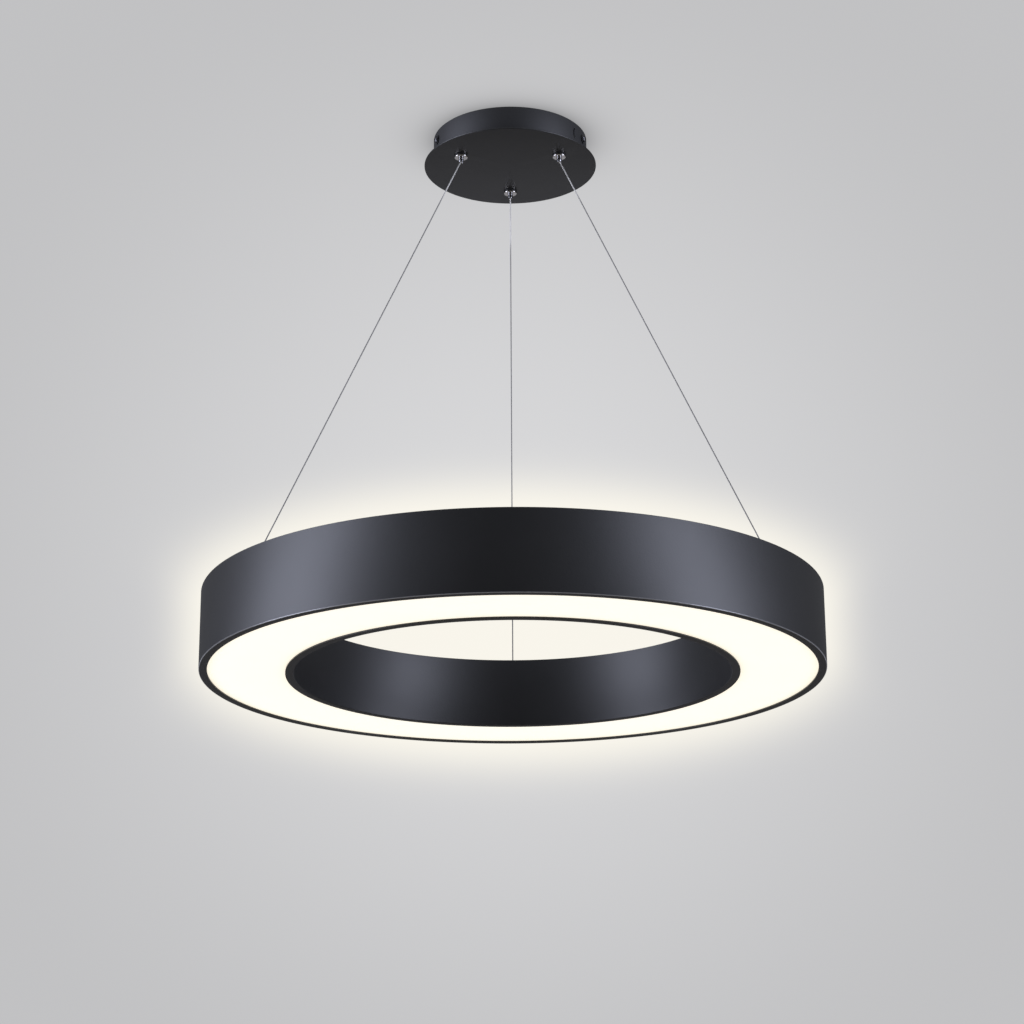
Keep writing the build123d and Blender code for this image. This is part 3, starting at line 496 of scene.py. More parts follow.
def plate_group():
    """Plated metal: cloudy tint, fine scratches and turned rings along Z."""
    group, source, sink = new_group(
        "plated_metal",
        [("Colour", COLOUR, (0.6, 0.6, 0.6, 1)), ("Stain", COLOUR, (0.4, 0.38, 0.35, 1)),
         ("Stain amount", FLOAT, 0.3), ("Gloss", FLOAT, 0.25), ("Spread", FLOAT, 0.15),
         ("Ring scale", FLOAT, 3000.0)],
        [("Colour", COLOUR), ("Roughness", FLOAT), ("Height", FLOAT)])
    point = object_point(group)
    _, _, z = object_xyz(group)
    rings = maths(group, "SINE", times(group, z, source["Ring scale"]))
    clouds = noise(group, point, 160.0, 4.0, 0.6)
    scratch = noise(group, point, 1500.0, 2.0, 0.6, 1.5)
    stain = times(group, ranged(group, clouds, 0.42, 0.72, 0.0, 1.0), source["Stain amount"])
    group.links.new(blend_colours(group, stain, source["Colour"], source["Stain"]), sink.inputs["Colour"])
    mixed = plus(group, times(group, clouds, 0.6), times(group, scratch, 0.4))
    rough = spread_gloss(group, mixed, source)
    group.links.new(rough, sink.inputs["Roughness"])
    relief = plus(group, times(group, rings, 0.3), scratch)
    group.links.new(relief, sink.inputs["Height"])
    return group


def plastic_group():
    """Moulded plastic: spark-eroded grain and faint flow clouds."""
    group, source, sink = new_group(
        "moulded_plastic",
        [("Colour", COLOUR, (0.5, 0.5, 0.5, 1)), ("Shade", COLOUR, (0.4, 0.4, 0.4, 1)),
         ("Grain scale", FLOAT, 1400.0), ("Gloss", FLOAT, 0.5), ("Spread", FLOAT, 0.1)],
        [("Colour", COLOUR), ("Roughness", FLOAT), ("Height", FLOAT)])
    point = object_point(group)
    cells = group.nodes.new("ShaderNodeTexVoronoi")
    group.links.new(point, cells.inputs["Vector"])
    group.links.new(source["Grain scale"], cells.inputs["Scale"])
    clouds = noise(group, point, 55.0, 3.0, 0.6)
    mask = ranged(group, clouds, 0.35, 0.7, 0.0, 1.0)
    group.links.new(blend_colours(group, mask, source["Colour"], source["Shade"]), sink.inputs["Colour"])
    rough = spread_gloss(group, clouds, source)
    group.links.new(rough, sink.inputs["Roughness"])
    group.links.new(cells.outputs["Distance"], sink.inputs["Height"])
    return group


def grouped(tree, name, build, values):
    """Places a shared group in a material with its own values."""
    group = bpy.data.node_groups.get(name) or build()
    node = tree.nodes.new("ShaderNodeGroup")
    node.node_tree = group
    for label, value in values.items():
        node.inputs[label].default_value = value
    return node.outputs


# ---------------------------------------------------------------- finishes
def rgba(values):
    """Colour with full alpha."""
    return (values[0], values[1], values[2], 1.0)


def bare(name):
    """Material with an empty node tree."""
    material = bpy.data.materials.new(name)
    material.use_nodes = True
    material.node_tree.nodes.clear()
    return material, material.node_tree


def blank(name):
    """Material with nothing but a Principled shader."""
    material, tree = bare(name)
    out = tree.nodes.new("ShaderNodeOutputMaterial")
    shader = tree.nodes.new("ShaderNodeBsdfPrincipled")
    tree.links.new(shader.outputs[0], out.inputs[0])
    return material, tree, shader


def relief(tree, shader, height_socket, distance, strength):
    """Bump from a height."""
    bump = tree.nodes.new("ShaderNodeBump")
    bump.inputs["Distance"].default_value = distance
    bump.inputs["Strength"].default_value = strength
    tree.links.new(height_socket, bump.inputs["Height"])
    tree.links.new(bump.outputs[0], shader.inputs["Normal"])


def dressed(name, group_name, build, values, bump=(0.00002, 0.3), metallic=0.0, specular=0.5):
    """Material whose colour, roughness and relief come from one shared group."""
    material, tree, shader = blank(name)
    outs = grouped(tree, group_name, build, values)
    tree.links.new(outs["Colour"], shader.inputs["Base Color"])
    tree.links.new(outs["Roughness"], shader.inputs["Roughness"])
    relief(tree, shader, outs["Height"], *bump)
    shader.inputs["Metallic"].default_value = metallic
    shader.inputs["Specular IOR Level"].default_value = specular
    return material, tree, shader


def satin_black():
    """Powder coat: lighter grey, half metallic and glossier on the ring's lower outer corner as a painted
    highlight line, more matt on its lips and on the drum.
    """
    coat = bpy.context.scene.lamp_finish.coat
    ring = bpy.context.scene.lamp_ring
    material, tree, shader = dressed("satin_black_coat", "powder_coat", coat_group, {
        "Colour": rgba(coat), "Dust": (0.020, 0.019, 0.018, 1), "Dust amount": 0.08,
        "Peel scale": 650.0, "Gloss": 0.462, "Spread": 0.06}, bump=(0.00008, 0.6))
    x, y, z = object_xyz(tree)
    radius = reach(tree, x, y)
    rim, corner = ring.outer_radius, ring.corner
    # Mask of the ring's lower outer corner, where a painted highlight line is laid.
    at_rim = ranged(tree, radius, rim - 1.2 * corner, rim - 0.5 * corner, 0.0, 1.0)
    at_foot = ranged(tree, z, ring.bottom + 0.7 * corner, ring.bottom + 1.2 * corner, 1.0, 0.0)
    corner_highlight = times(tree, at_rim, at_foot)
    coat_rough = shader.inputs["Roughness"].links[0].from_socket
    coat_tone = shader.inputs["Base Color"].links[0].from_socket
    on_face = ranged(tree, z, ring.bottom + 0.1 * corner, ring.bottom + 0.4 * corner, 0.22, 0.0)
    drum_foot = bpy.context.scene.lamp_canopy.drum_bottom
    on_drum = ranged(tree, z, drum_foot, drum_foot + 1 * MM, 0.0, 0.17)
    # Lower roughness along the painted highlight line.
    highlit = maths(tree, "MULTIPLY_ADD", corner_highlight, -0.25, coat_rough)
    tree.links.new(plus(tree, plus(tree, on_face, highlit), on_drum), shader.inputs["Roughness"])
    # Painted highlight: the corner's colour is lifted to a light grey (0.20) and made half metallic.
    tree.links.new(blend_colours(tree, corner_highlight, coat_tone, (0.20, 0.20, 0.205, 1)), shader.inputs["Base Color"])
    tree.links.new(times(tree, corner_highlight, 0.35), shader.inputs["Metallic"])
    return material


def opal_sheet():
    """Opal acrylic that glows, a little creamier along both rims."""
    finish_set = bpy.context.scene.lamp_finish
    ring = bpy.context.scene.lamp_ring
    material, tree, shader = blank("opal_glow")
    x, y, _ = object_xyz(tree)
    radius = reach(tree, x, y)
    inner = ring.hole_radius + ring.lip_width
    outer = ring.outer_radius - ring.lip_width
    creamy = 9 * MM
    near_inner = ranged(tree, radius, inner, inner + creamy, 1.0, 0.0)
    near_outer = ranged(tree, radius, outer - creamy, outer, 0.0, 1.0)
    rim = maths(tree, "MAXIMUM", near_inner, near_outer)
    cloud = noise(tree, object_point(tree), 30.0, 2.0, 0.5)
    mask = plus(tree, times(tree, rim, 0.75), times(tree, cloud, 0.12))
    glow = blend_colours(tree, mask, rgba(finish_set.glow), rgba(finish_set.glow_edge))
    tree.links.new(glow, shader.inputs["Emission Color"])
    opal = blend_colours(tree, cloud, (0.52, 0.51, 0.485, 1), (0.48, 0.465, 0.44, 1))
    tree.links.new(opal, shader.inputs["Base Color"])
    shader.inputs["Emission Strength"].default_value = finish_set.glow_level
    rough = maths(tree, "MULTIPLY_ADD", cloud, 0.12, 0.36)
    tree.links.new(rough, shader.inputs["Roughness"])
    relief(tree, shader, noise(tree, object_point(tree), 700.0), 0.00001, 0.2)
    return material


def metal(name, base, stain, gloss, spread=0.15, rings=3000.0, amount=0.3, bump=(0.000006, 0.25)):
    """Plated or bare metal."""
    material, _, _ = dressed(name, "plated_metal", plate_group, {
        "Colour": rgba(base), "Stain": rgba(stain), "Stain amount": amount, "Gloss": gloss,
        "Spread": spread, "Ring scale": rings}, bump=bump, metallic=1.0)
    return material


def plastic(name, base, shade, gloss, grain=1400.0, bump=(0.00001, 0.3)):
    """Moulded plastic."""
    material, _, _ = dressed(name, "moulded_plastic", plastic_group, {
        "Colour": rgba(base), "Shade": rgba(shade), "Grain scale": grain, "Gloss": gloss,
        "Spread": 0.12}, bump=bump)
    return material


def zinc():
    """Zinc-plated sheet and fasteners."""
    return metal("bright_zinc", (0.40, 0.41, 0.425), (0.30, 0.315, 0.345), 0.46, 0.22, 900.0, 0.5)


def dark_steel():
    """Blackened steel."""
    return metal("blackened_steel", (0.09, 0.09, 0.095), (0.05, 0.045, 0.04), 0.38)


def nickel():
    """Satin nickel of the grippers and sockets."""
    tint = bpy.context.scene.lamp_finish.nickel
    return metal("satin_nickel", tint, (0.42, 0.40, 0.37), 0.20, 0.12, 5200.0, 0.25)


def dark_nickel():
    """Dark nickel of the screw heads."""
    return metal("dark_nickel", (0.30, 0.30, 0.31), (0.18, 0.17, 0.16), 0.24, 0.15, 4000.0, 0.35)


def ball_steel():
    """Polished ball steel."""
    return metal("ball_steel", (0.62, 0.62, 0.63), (0.50, 0.49, 0.48), 0.12, 0.08, 800.0, 0.2)


def wire_steel():
    """Steel of the wires, painted a dull dark grey along most of their length as painted shade, and left
    bright near the grippers, where they run through them, as a painted highlight.
    """
    tint = bpy.context.scene.lamp_finish.wire
    material, tree, shader = dressed("wire_steel", "plated_metal", plate_group, {
        "Colour": rgba(tint), "Stain": (0.42, 0.405, 0.38, 1), "Stain amount": 0.30, "Gloss": 0.55,
        "Spread": 0.14, "Ring scale": 1400.0}, bump=(0.000004, 0.2), metallic=0.55)
    _, _, z = object_xyz(tree)
    # Painted light: mask that is 1 near the grippers, where a painted highlight keeps the steel bright, and 0
    # further down.
    highlit = ranged(tree, z, -92 * MM, -72 * MM, 0.0, 1.0)
    steel = shader.inputs["Base Color"].links[0].from_socket
    # Painted shade: below the grippers the steel is painted a dull dark grey (0.21).
    tree.links.new(blend_colours(tree, highlit, (0.21, 0.203, 0.19, 1), steel), shader.inputs["Base Color"])
    return material


def brass():
    """Brass, dulled in places."""
    return metal("dull_brass", (0.72, 0.52, 0.25), (0.42, 0.29, 0.14), 0.30, 0.18, 2600.0, 0.5)


def aluminium():
    """Rolled aluminium sheet with fine lines along one way."""
    material, tree, shader = blank("rolled_aluminium")
    lines = noise(tree, stretched(tree, (30.0, 1600.0, 300.0)), 1.0, 3.0, 0.6)
    clouds = noise(tree, object_point(tree), 25.0)
    sheet = blend_colours(tree, lines, (0.70, 0.71, 0.72, 1), (0.58, 0.59, 0.61, 1))
    tree.links.new(sheet, shader.inputs["Base Color"])
    rough = plus(tree, times(tree, lines, 0.15), maths(tree, "MULTIPLY_ADD", clouds, 0.12, 0.24))
    tree.links.new(rough, shader.inputs["Roughness"])
    relief(tree, shader, lines, 0.00001, 0.3)
    shader.inputs["Metallic"].default_value = 1.0
    return material


def phosphor():
    """Yellow gel of the emitters, cloudy and faintly alight."""
    material, tree, shader = blank("chip_phosphor")
    cells = noise(tree, object_point(tree), 2500.0, 2.0)
    tone = blend_colours(tree, cells, (0.92, 0.74, 0.28, 1), (0.85, 0.62, 0.16, 1))
    tree.links.new(tone, shader.inputs["Base Color"])
    tree.links.new(tone, shader.inputs["Emission Color"])
    shader.inputs["Emission Strength"].default_value = 0.6
    tree.links.new(maths(tree, "MULTIPLY_ADD", cells, 0.2, 0.25), shader.inputs["Roughness"])
    relief(tree, shader, cells, 0.00001, 0.3)
    return material


def board(name, base, line):
    """Circuit board: solder resist over faint copper runs."""
    material, tree, shader = blank(name)
    point = object_point(tree)
    brick = tree.nodes.new("ShaderNodeTexBrick")
    tree.links.new(point, brick.inputs["Vector"])
    brick.inputs["Scale"].default_value = 60.0
    brick.inputs["Mortar Size"].default_value = 0.03
    brick.inputs["Color1"].default_value = rgba(base)
    brick.inputs["Color2"].default_value = rgba([value * 0.94 for value in base])
    brick.inputs["Mortar"].default_value = rgba(line)
    tree.links.new(brick.outputs["Color"], shader.inputs["Base Color"])
    grain = noise(tree, point, 1800.0)
    tree.links.new(maths(tree, "MULTIPLY_ADD", grain, 0.2, 0.28), shader.inputs["Roughness"])
    relief(tree, shader, brick.outputs["Fac"], 0.00002, 0.4)
    return material


FINISHES = {
    "black_coat": satin_black,
    "opal": opal_sheet,
    "zinc_steel": zinc,
    "dark_steel": dark_steel,
    "black_nylon": lambda: plastic("black_nylon", (0.012, 0.012, 0.013), (0.02, 0.02, 0.021), 0.46),
    "aluminium": aluminium,
    "phosphor": phosphor,
    "black_lead": lambda: plastic("black_lead", (0.014, 0.014, 0.015), (0.022, 0.022, 0.023), 0.42, 500.0),
    "grey_lead": lambda: plastic("grey_lead", (0.24, 0.245, 0.25), (0.20, 0.20, 0.21), 0.42, 500.0),
    "nickel": nickel,
    "dark_nickel": dark_nickel,
    "ball_steel": ball_steel,
    "wire_steel": wire_steel,
    "brass": brass,
    "white_plastic": lambda: plastic("white_plastic", (0.74, 0.74, 0.72), (0.68, 0.68, 0.65), 0.42),
    "board_green": lambda: board("board_green", (0.03, 0.16, 0.07), (0.05, 0.24, 0.11)),
    "board_white": lambda: board("board_white", (0.78, 0.78, 0.76), (0.70, 0.70, 0.66)),
    "terminal_plastic": lambda: plastic("terminal_plastic", (0.62, 0.61, 0.56), (0.54, 0.53, 0.48), 0.38),
}
MADE = {}


def finish(slot):
    """The material of a finish, made once."""
    if slot not in MADE:
        MADE[slot] = FINISHES[slot]()
    return MADE[slot]


# ---------------------------------------------------------------- operators: the ring
class LAMP_OT_outer_wall(bpy.types.Operator):
    """Turn the outer band with its lip and rounded corners"""
    bl_idname = "lamp.outer_wall"
    bl_label = "Outer band"

    def execute(self, context):
        ring = context.scene.lamp_ring
        out, sheet = ring.outer_radius, ring.sheet
        lip, seat, blunt = out - ring.lip_width, ring.bottom + sheet, ring.edge * 0.6
        outline = softened([
            (lip, ring.bottom, blunt), (out, ring.bottom, ring.corner), (out, ring.top, ring.edge),
            (out - sheet, ring.top, ring.edge), (out - sheet, seat, 0), (lip, seat, blunt)])
        wall = turned("outer_wall", outline, steps=288)
        settle(wall, "ring", "black_coat", "outer_band")
        return {"FINISHED"}


class LAMP_OT_inner_wall(bpy.types.Operator):
    """Turn the lower inner band with its lip"""
    bl_idname = "lamp.inner_wall"
    bl_label = "Inner band"

    def execute(self, context):
        ring = context.scene.lamp_ring
        hole, sheet = ring.hole_radius, ring.sheet
        lip, seat, blunt = hole + ring.lip_width, ring.bottom + sheet, ring.edge * 0.6
        outline = softened([
            (hole, ring.bottom, ring.corner), (lip, ring.bottom, blunt), (lip, seat, blunt),
            (hole + sheet, seat, 0), (hole + sheet, ring.inner_top, ring.edge),
            (hole, ring.inner_top, ring.edge)])
        wall = turned("inner_wall", outline, steps=256)
        settle(wall, "ring", "black_coat", "inner_band")
        return {"FINISHED"}


class LAMP_OT_opal_ring(bpy.types.Operator):
    """Turn the opal sheet that lies on both lips"""
    bl_idname = "lamp.opal_ring"
    bl_label = "Opal diffuser"

    def execute(self, context):
        ring = context.scene.lamp_ring
        inner = ring.hole_radius + ring.sheet + ring.fit
        outer = ring.outer_radius - ring.sheet - ring.fit
        base, top = low("diffuser")[2], high("diffuser")[2]
        outline = softened([(inner, base, ring.edge), (outer, base, ring.edge),
                            (outer, top, ring.edge), (inner, top, ring.edge)], 3)
        sheet = turned("opal_ring", outline, steps=256)
        settle(sheet, "ring", "opal", "diffuser")
        return {"FINISHED"}


class LAMP_OT_sockets(bpy.types.Operator):
    """Turn one ball socket and copy it to the three anchor places"""
    bl_idname = "lamp.sockets"
    bl_label = "Ball sockets"

    def execute(self, context):
        rope = context.scene.lamp_rope
        base, top = low("anchor_sockets")[2], high("anchor_sockets")[2]
        flange, barrel, bore = 8 * MM, 6 * MM, rope.ball_radius + 0.05 * MM
        stud, neck = 3.05 * MM, 2.0 * MM
        shoulder, floor = base + 2 * MM, rope.ball - 2.6 * MM
        mouth = (top - rope.ball) * 1.31
        outline = softened([
            (stud, base, 0), (flange, base, 0.2 * MM), (flange, shoulder, 0.5 * MM),
            (barrel, shoulder, 0.2 * MM), (barrel, top, 0.6 * MM), (mouth, top, 0.2 * MM),
            (neck, rope.ball + 1.55 * MM, 0), (bore, rope.ball, 0), (bore, floor, 0), (stud, floor, 0)])
        first = turned("socket", outline, centre=at_turn(rope.low_radius, WIRE_TURNS[0])[:2], steps=64)
        rest = [swung(first, "socket", turn - WIRE_TURNS[0]) for turn in WIRE_TURNS[1:]]
        sockets = joined("ball_sockets", first, *rest)
        settle(sockets, "ring", "nickel", "anchor_sockets")
        return {"FINISHED"}


# ---------------------------------------------------------------- operators: the canopy
class LAMP_OT_drum(bpy.types.Operator):
    """Turn the drum, then cut its screw holes and its side slot"""
    bl_idname = "lamp.drum"
    bl_label = "Canopy drum"

    def execute(self, context):
        size = context.scene.lamp_canopy
        out, sheet = size.drum_radius, size.drum_sheet
        inner = out - sheet
        outline = softened([
            (inner - size.drum_flange, size.drum_bottom, 0), (out, size.drum_bottom, 0.5 * MM),
            (out, size.drum_top, 0.25 * MM), (inner, size.drum_top, 0.25 * MM),
            (inner, size.drum_bottom + sheet, 0.3 * MM),
            (inner - size.drum_flange, size.drum_bottom + sheet, 0)], 3)
        drum = turned("drum", outline, steps=192)
        for turn in SCREW_TURNS:
            spot = at_turn(out - sheet / 2, turn, -size.screw_depth)
            cut(drum, hole_tool(size.screw_hole, spot, THROUGH, turn, lying=True))
        cut(drum, self.slot_tool(size))
        smoothed(drum)
        settle(drum, "canopy", "black_coat", "canopy_drum")
        return {"FINISHED"}

    def slot_tool(self, size):
        """Upright cutter with round ends: one lying rod, pulled apart into a slot."""
        spot = at_turn(size.drum_radius - size.drum_sheet / 2, size.slot_turn, -size.slot_depth)
        tool = hole_tool(size.slot_width / 2, spot, THROUGH, size.slot_turn, lying=True)
        pull = (size.slot_length - size.slot_width) / 2
        pick(tool)
        for side in (1, -1):
            select_where(tool, lambda point: (point.z + size.slot_depth) * side > 1e-6)
            bpy.ops.object.mode_set(mode="EDIT")
            bpy.ops.transform.translate(value=(0, 0, side * pull))
            bpy.ops.object.mode_set(mode="OBJECT")
        return tool


# Studs welded on the plate, for the supply case, the terminal block and the earth lug: x, y and top.
STUDS = ((-46 * MM, 9 * MM, -21.1 * MM), (46 * MM, 9 * MM, -21.1 * MM),
         (0, -35 * MM, -17.6 * MM), (27 * MM, -44 * MM, -23.3 * MM))


class LAMP_OT_disc(bpy.types.Operator):
    """Turn the wide plate, cut the gripper holes and weld its studs"""
    bl_idname = "lamp.disc"
    bl_label = "Canopy plate"

    def execute(self, context):
        size = context.scene.lamp_canopy
        rope = context.scene.lamp_rope
        edge = 0.45 * MM
        outline = softened([(0, size.plate_bottom, 0), (size.plate_radius, size.plate_bottom, edge),
                            (size.plate_radius, size.drum_bottom, edge), (0, size.drum_bottom, 0)])
        disc = turned("disc", outline, steps=192)
        middle = (size.plate_bottom + size.drum_bottom) / 2
        for turn in WIRE_TURNS:
            cut(disc, hole_tool(size.gripper_hole, at_turn(rope.top_radius, turn, middle), THROUGH))
        smoothed(disc)
        studs = [self.stud(size, *place) for place in STUDS]
        plate = joined("canopy_disc", disc, *studs)
        settle(plate, "canopy", "black_coat", "canopy_plate")
        return {"FINISHED"}

    def stud(self, size, x, y, top):
        """Threaded stud: a stepped outline of thread crests on a shank."""
        crest, root, pitch = 1.5 * MM, 1.28 * MM, 0.5 * MM
        outline = [(0, size.drum_bottom), (crest, size.drum_bottom)]
        z = size.drum_bottom + pitch
        while z < top - pitch:
            outline += [(crest, z), (root, z + pitch * 0.5)]
            z += pitch
        outline += [(crest - 0.3 * MM, top), (0, top)]
        return turned("stud", outline, centre=(x, y), steps=24)


class LAMP_OT_side_screws(bpy.types.Operator):
    """Turn one pan-head screw with a cross recess and copy it round the drum"""
    bl_idname = "lamp.side_screws"
    bl_label = "Side screws"

    def execute(self, context):
        size = context.scene.lamp_canopy
        seat = size.drum_radius + 1.05 * MM
        head, tall = 3.6 * MM, 2.4 * MM
        tip, neck = -10.4 * MM, -1.5 * MM
        crest, root, pitch = 2.0 * MM, 1.62 * MM, 0.7 * MM
        shank = [(0, tip), (1.6 * MM, tip)]
        z = tip + 0.4 * MM
        while z < neck - pitch:
            shank += [(crest, z), (root, z + pitch / 2)]
            z += pitch
        profile = shank + [(crest, neck), (crest, 0), (head, 0)]
        crown = softened([(head, 0, 0), (head, 1.0 * MM, 0.25 * MM), (2.7 * MM, 2.1 * MM, 0.8 * MM),
                          (1.2 * MM, tall, 0.8 * MM), (0, tall, 0)], 5)
        screw = turned("screw", profile + crown[1:], steps=48)
        cut(screw, self.bar(0), self.bar(radians(90)))
        smoothed(screw, 38)
        pick(screw)
        screw.rotation_euler.y = radians(90)
        screw.location = (seat, 0, -size.screw_depth)
        rooted(screw)
        screws = [swung(screw, "screw", turn) for turn in SCREW_TURNS]
        pick(screw)
        bpy.ops.object.delete()
        settle(joined("side_screw_set", *screws), "canopy", "dark_steel", "side_screws")
        return {"FINISHED"}

    def bar(self, turn):
        """One bar of the cross recess, narrowed towards its floor."""
        start_clean()
        bpy.ops.mesh.primitive_cube_add(size=1, location=(0, 0, 2.3 * MM), rotation=(0, 0, turn),
                                        scale=(4.3 * MM, 0.9 * MM, 2.2 * MM))
        tool = rooted(named("cutter"))
        select_where(tool, lambda point: point.z < 2.0 * MM)
        pick(tool)
        bpy.ops.object.mode_set(mode="EDIT")
        bpy.ops.transform.resize(value=(0.62, 0.62, 1), center_override=(0, 0, 1.2 * MM))
        bpy.ops.object.mode_set(mode="OBJECT")
        return tool


# ---------------------------------------------------------------- operators: grippers and wires
class LAMP_OT_grippers(bpy.types.Operator):
    """Turn a gripper's flanged barrel and its nozzle, and copy both to the three places"""
    bl_idname = "lamp.grippers"
    bl_label = "Grippers"

    def execute(self, context):
        rope = context.scene.lamp_rope
        size = context.scene.lamp_gripper
        start = at_turn(rope.top_radius, WIRE_TURNS[0])
        barrel = turned("gripper_barrel", self.barrel_outline(size), centre=start[:2], steps=72)
        outline = self.nozzle_outline(size, rope.top)
        nozzle = turned("gripper_nozzle", outline, centre=start[:2], steps=48)
        for place in range(3):
            turn = radians(120 * place)
            spot = self.ball_place(size, start, WIRE_TURNS[0] + turn)
            cut(nozzle, hole_tool(size.ball_window, spot, 2.4 * MM, turn, True, 24))
        smoothed(nozzle)
        for index in (2, 1, 0):
            spot = at_turn(rope.top_radius, WIRE_TURNS[index])
            dx, dy = spot[0] - start[0], spot[1] - start[1]
            turn = WIRE_TURNS[index] - WIRE_TURNS[0]
            shell, nose = f"gripper_shell_{index + 1}", f"gripper_nose_{index + 1}"
            body = shifted(barrel, shell, dx, dy) if index else barrel
            plunger = swung(nozzle, nose, turn) if index else nozzle
            body.name, plunger.name = shell, nose
            settle(body, "canopy", "nickel", f"gripper_body_{index + 1}")
            settle(plunger, f"plunger_{index + 1}", "dark_nickel", f"gripper_plunger_{index + 1}")
        return {"FINISHED"}

    def ball_place(self, size, start, turn):
        """Middle of a ball window in the first nozzle's cage."""
        x, y, _ = at_turn(size.ball_circle, turn)
        return (start[0] + x, start[1] + y, size.balls)

    def barrel_outline(self, size):
        """Flange, barrel with a fine thread, spring chamber, clamping cone and guide bore."""
        base, seat, top = size.flange_bottom, size.flange_top, size.barrel_top
        outline = softened([
            (size.guide, base, 0.12 * MM), (size.flange, base, 0.7 * MM), (size.flange, seat, 0.2 * MM),
            (size.barrel, seat, 0.1 * MM), (size.barrel, size.thread_bottom, 0)], 4)
        root, pitch = size.barrel - 0.24 * MM, 0.5 * MM
        chamfer = 0.3 * MM
        z = size.thread_bottom + 0.4 * MM
        while z < top - chamfer - pitch:
            outline += [(size.barrel, z), (root, z + pitch / 2)]
            z += pitch
        slope = tan(radians(8))
        wide = size.ball_wall + (size.cone_top - size.balls) * slope
        narrow = size.ball_wall + (size.cone_bottom - size.balls) * slope
        outline += [(size.barrel, top - chamfer), (size.barrel - chamfer, top), (wide, top),
                    (wide, size.cone_top), (narrow, size.cone_bottom), (size.guide, size.cone_bottom)]
        return outline

    def nozzle_outline(self, size, mouth):
        """Flared mouth, straight nozzle and ball cage."""
        tip, top = size.nozzle_tip, size.nozzle_top
        return softened([
            (size.bore, mouth, 0.2 * MM), (size.flare, tip, 0.1 * MM), (size.flare + 0.2 * MM, tip, 0.1 * MM),
            (size.nozzle, tip + 2.2 * MM, 0.8 * MM), (size.nozzle, top, 0.15 * MM), (size.bore, top, 0)], 4)


class LAMP_OT_springs(bpy.types.Operator):
    """Wind the small coil spring of each gripper"""
    bl_idname = "lamp.springs"
    bl_label = "Springs"

    def execute(self, context):
        rope = context.scene.lamp_rope
        for index, turn in enumerate(WIRE_TURNS):
            node = f"gripper_spring_{index + 1}"
            base, top = low(node)[2], high(node)[2]
            x, y, _ = at_turn(rope.top_radius, turn)
            start_clean()
            wire, coil, turns = 0.35 * MM, 2.0 * MM, 5
            pitch = (top - base - 2 * wire) / turns
            bpy.ops.mesh.primitive_circle_add(
                vertices=12, radius=wire, location=(x + coil, y, base + wire), rotation=(radians(90), 0, 0))
            spring = named(f"spring_coil_{index + 1}")
            bpy.ops.object.transform_apply(location=False, rotation=True, scale=True)
            context.scene.cursor.location = (x, y, 0)
            bpy.ops.object.origin_set(type="ORIGIN_CURSOR")
            bpy.ops.object.modifier_add(type="SCREW")
            winding = spring.modifiers[-1]
            winding.angle = 2 * pi * turns
            winding.screw_offset = pitch * turns
            winding.iterations = 1
            winding.steps = 24 * turns
            winding.render_steps = 24 * turns
            bpy.ops.object.modifier_apply(modifier=winding.name)
            bpy.ops.object.mode_set(mode="EDIT")
            bpy.ops.mesh.select_all(action="DESELECT")
            bpy.ops.mesh.select_non_manifold()
            bpy.ops.mesh.edge_face_add()
            bpy.ops.mesh.select_all(action="SELECT")
            bpy.ops.mesh.normals_make_consistent(inside=False)
            bpy.ops.object.mode_set(mode="OBJECT")
            rooted(spring)
            smoothed(spring)
            settle(spring, "canopy", "wire_steel", node)
            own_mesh(spring)
        context.scene.cursor.location = (0, 0, 0)
        return {"FINISHED"}


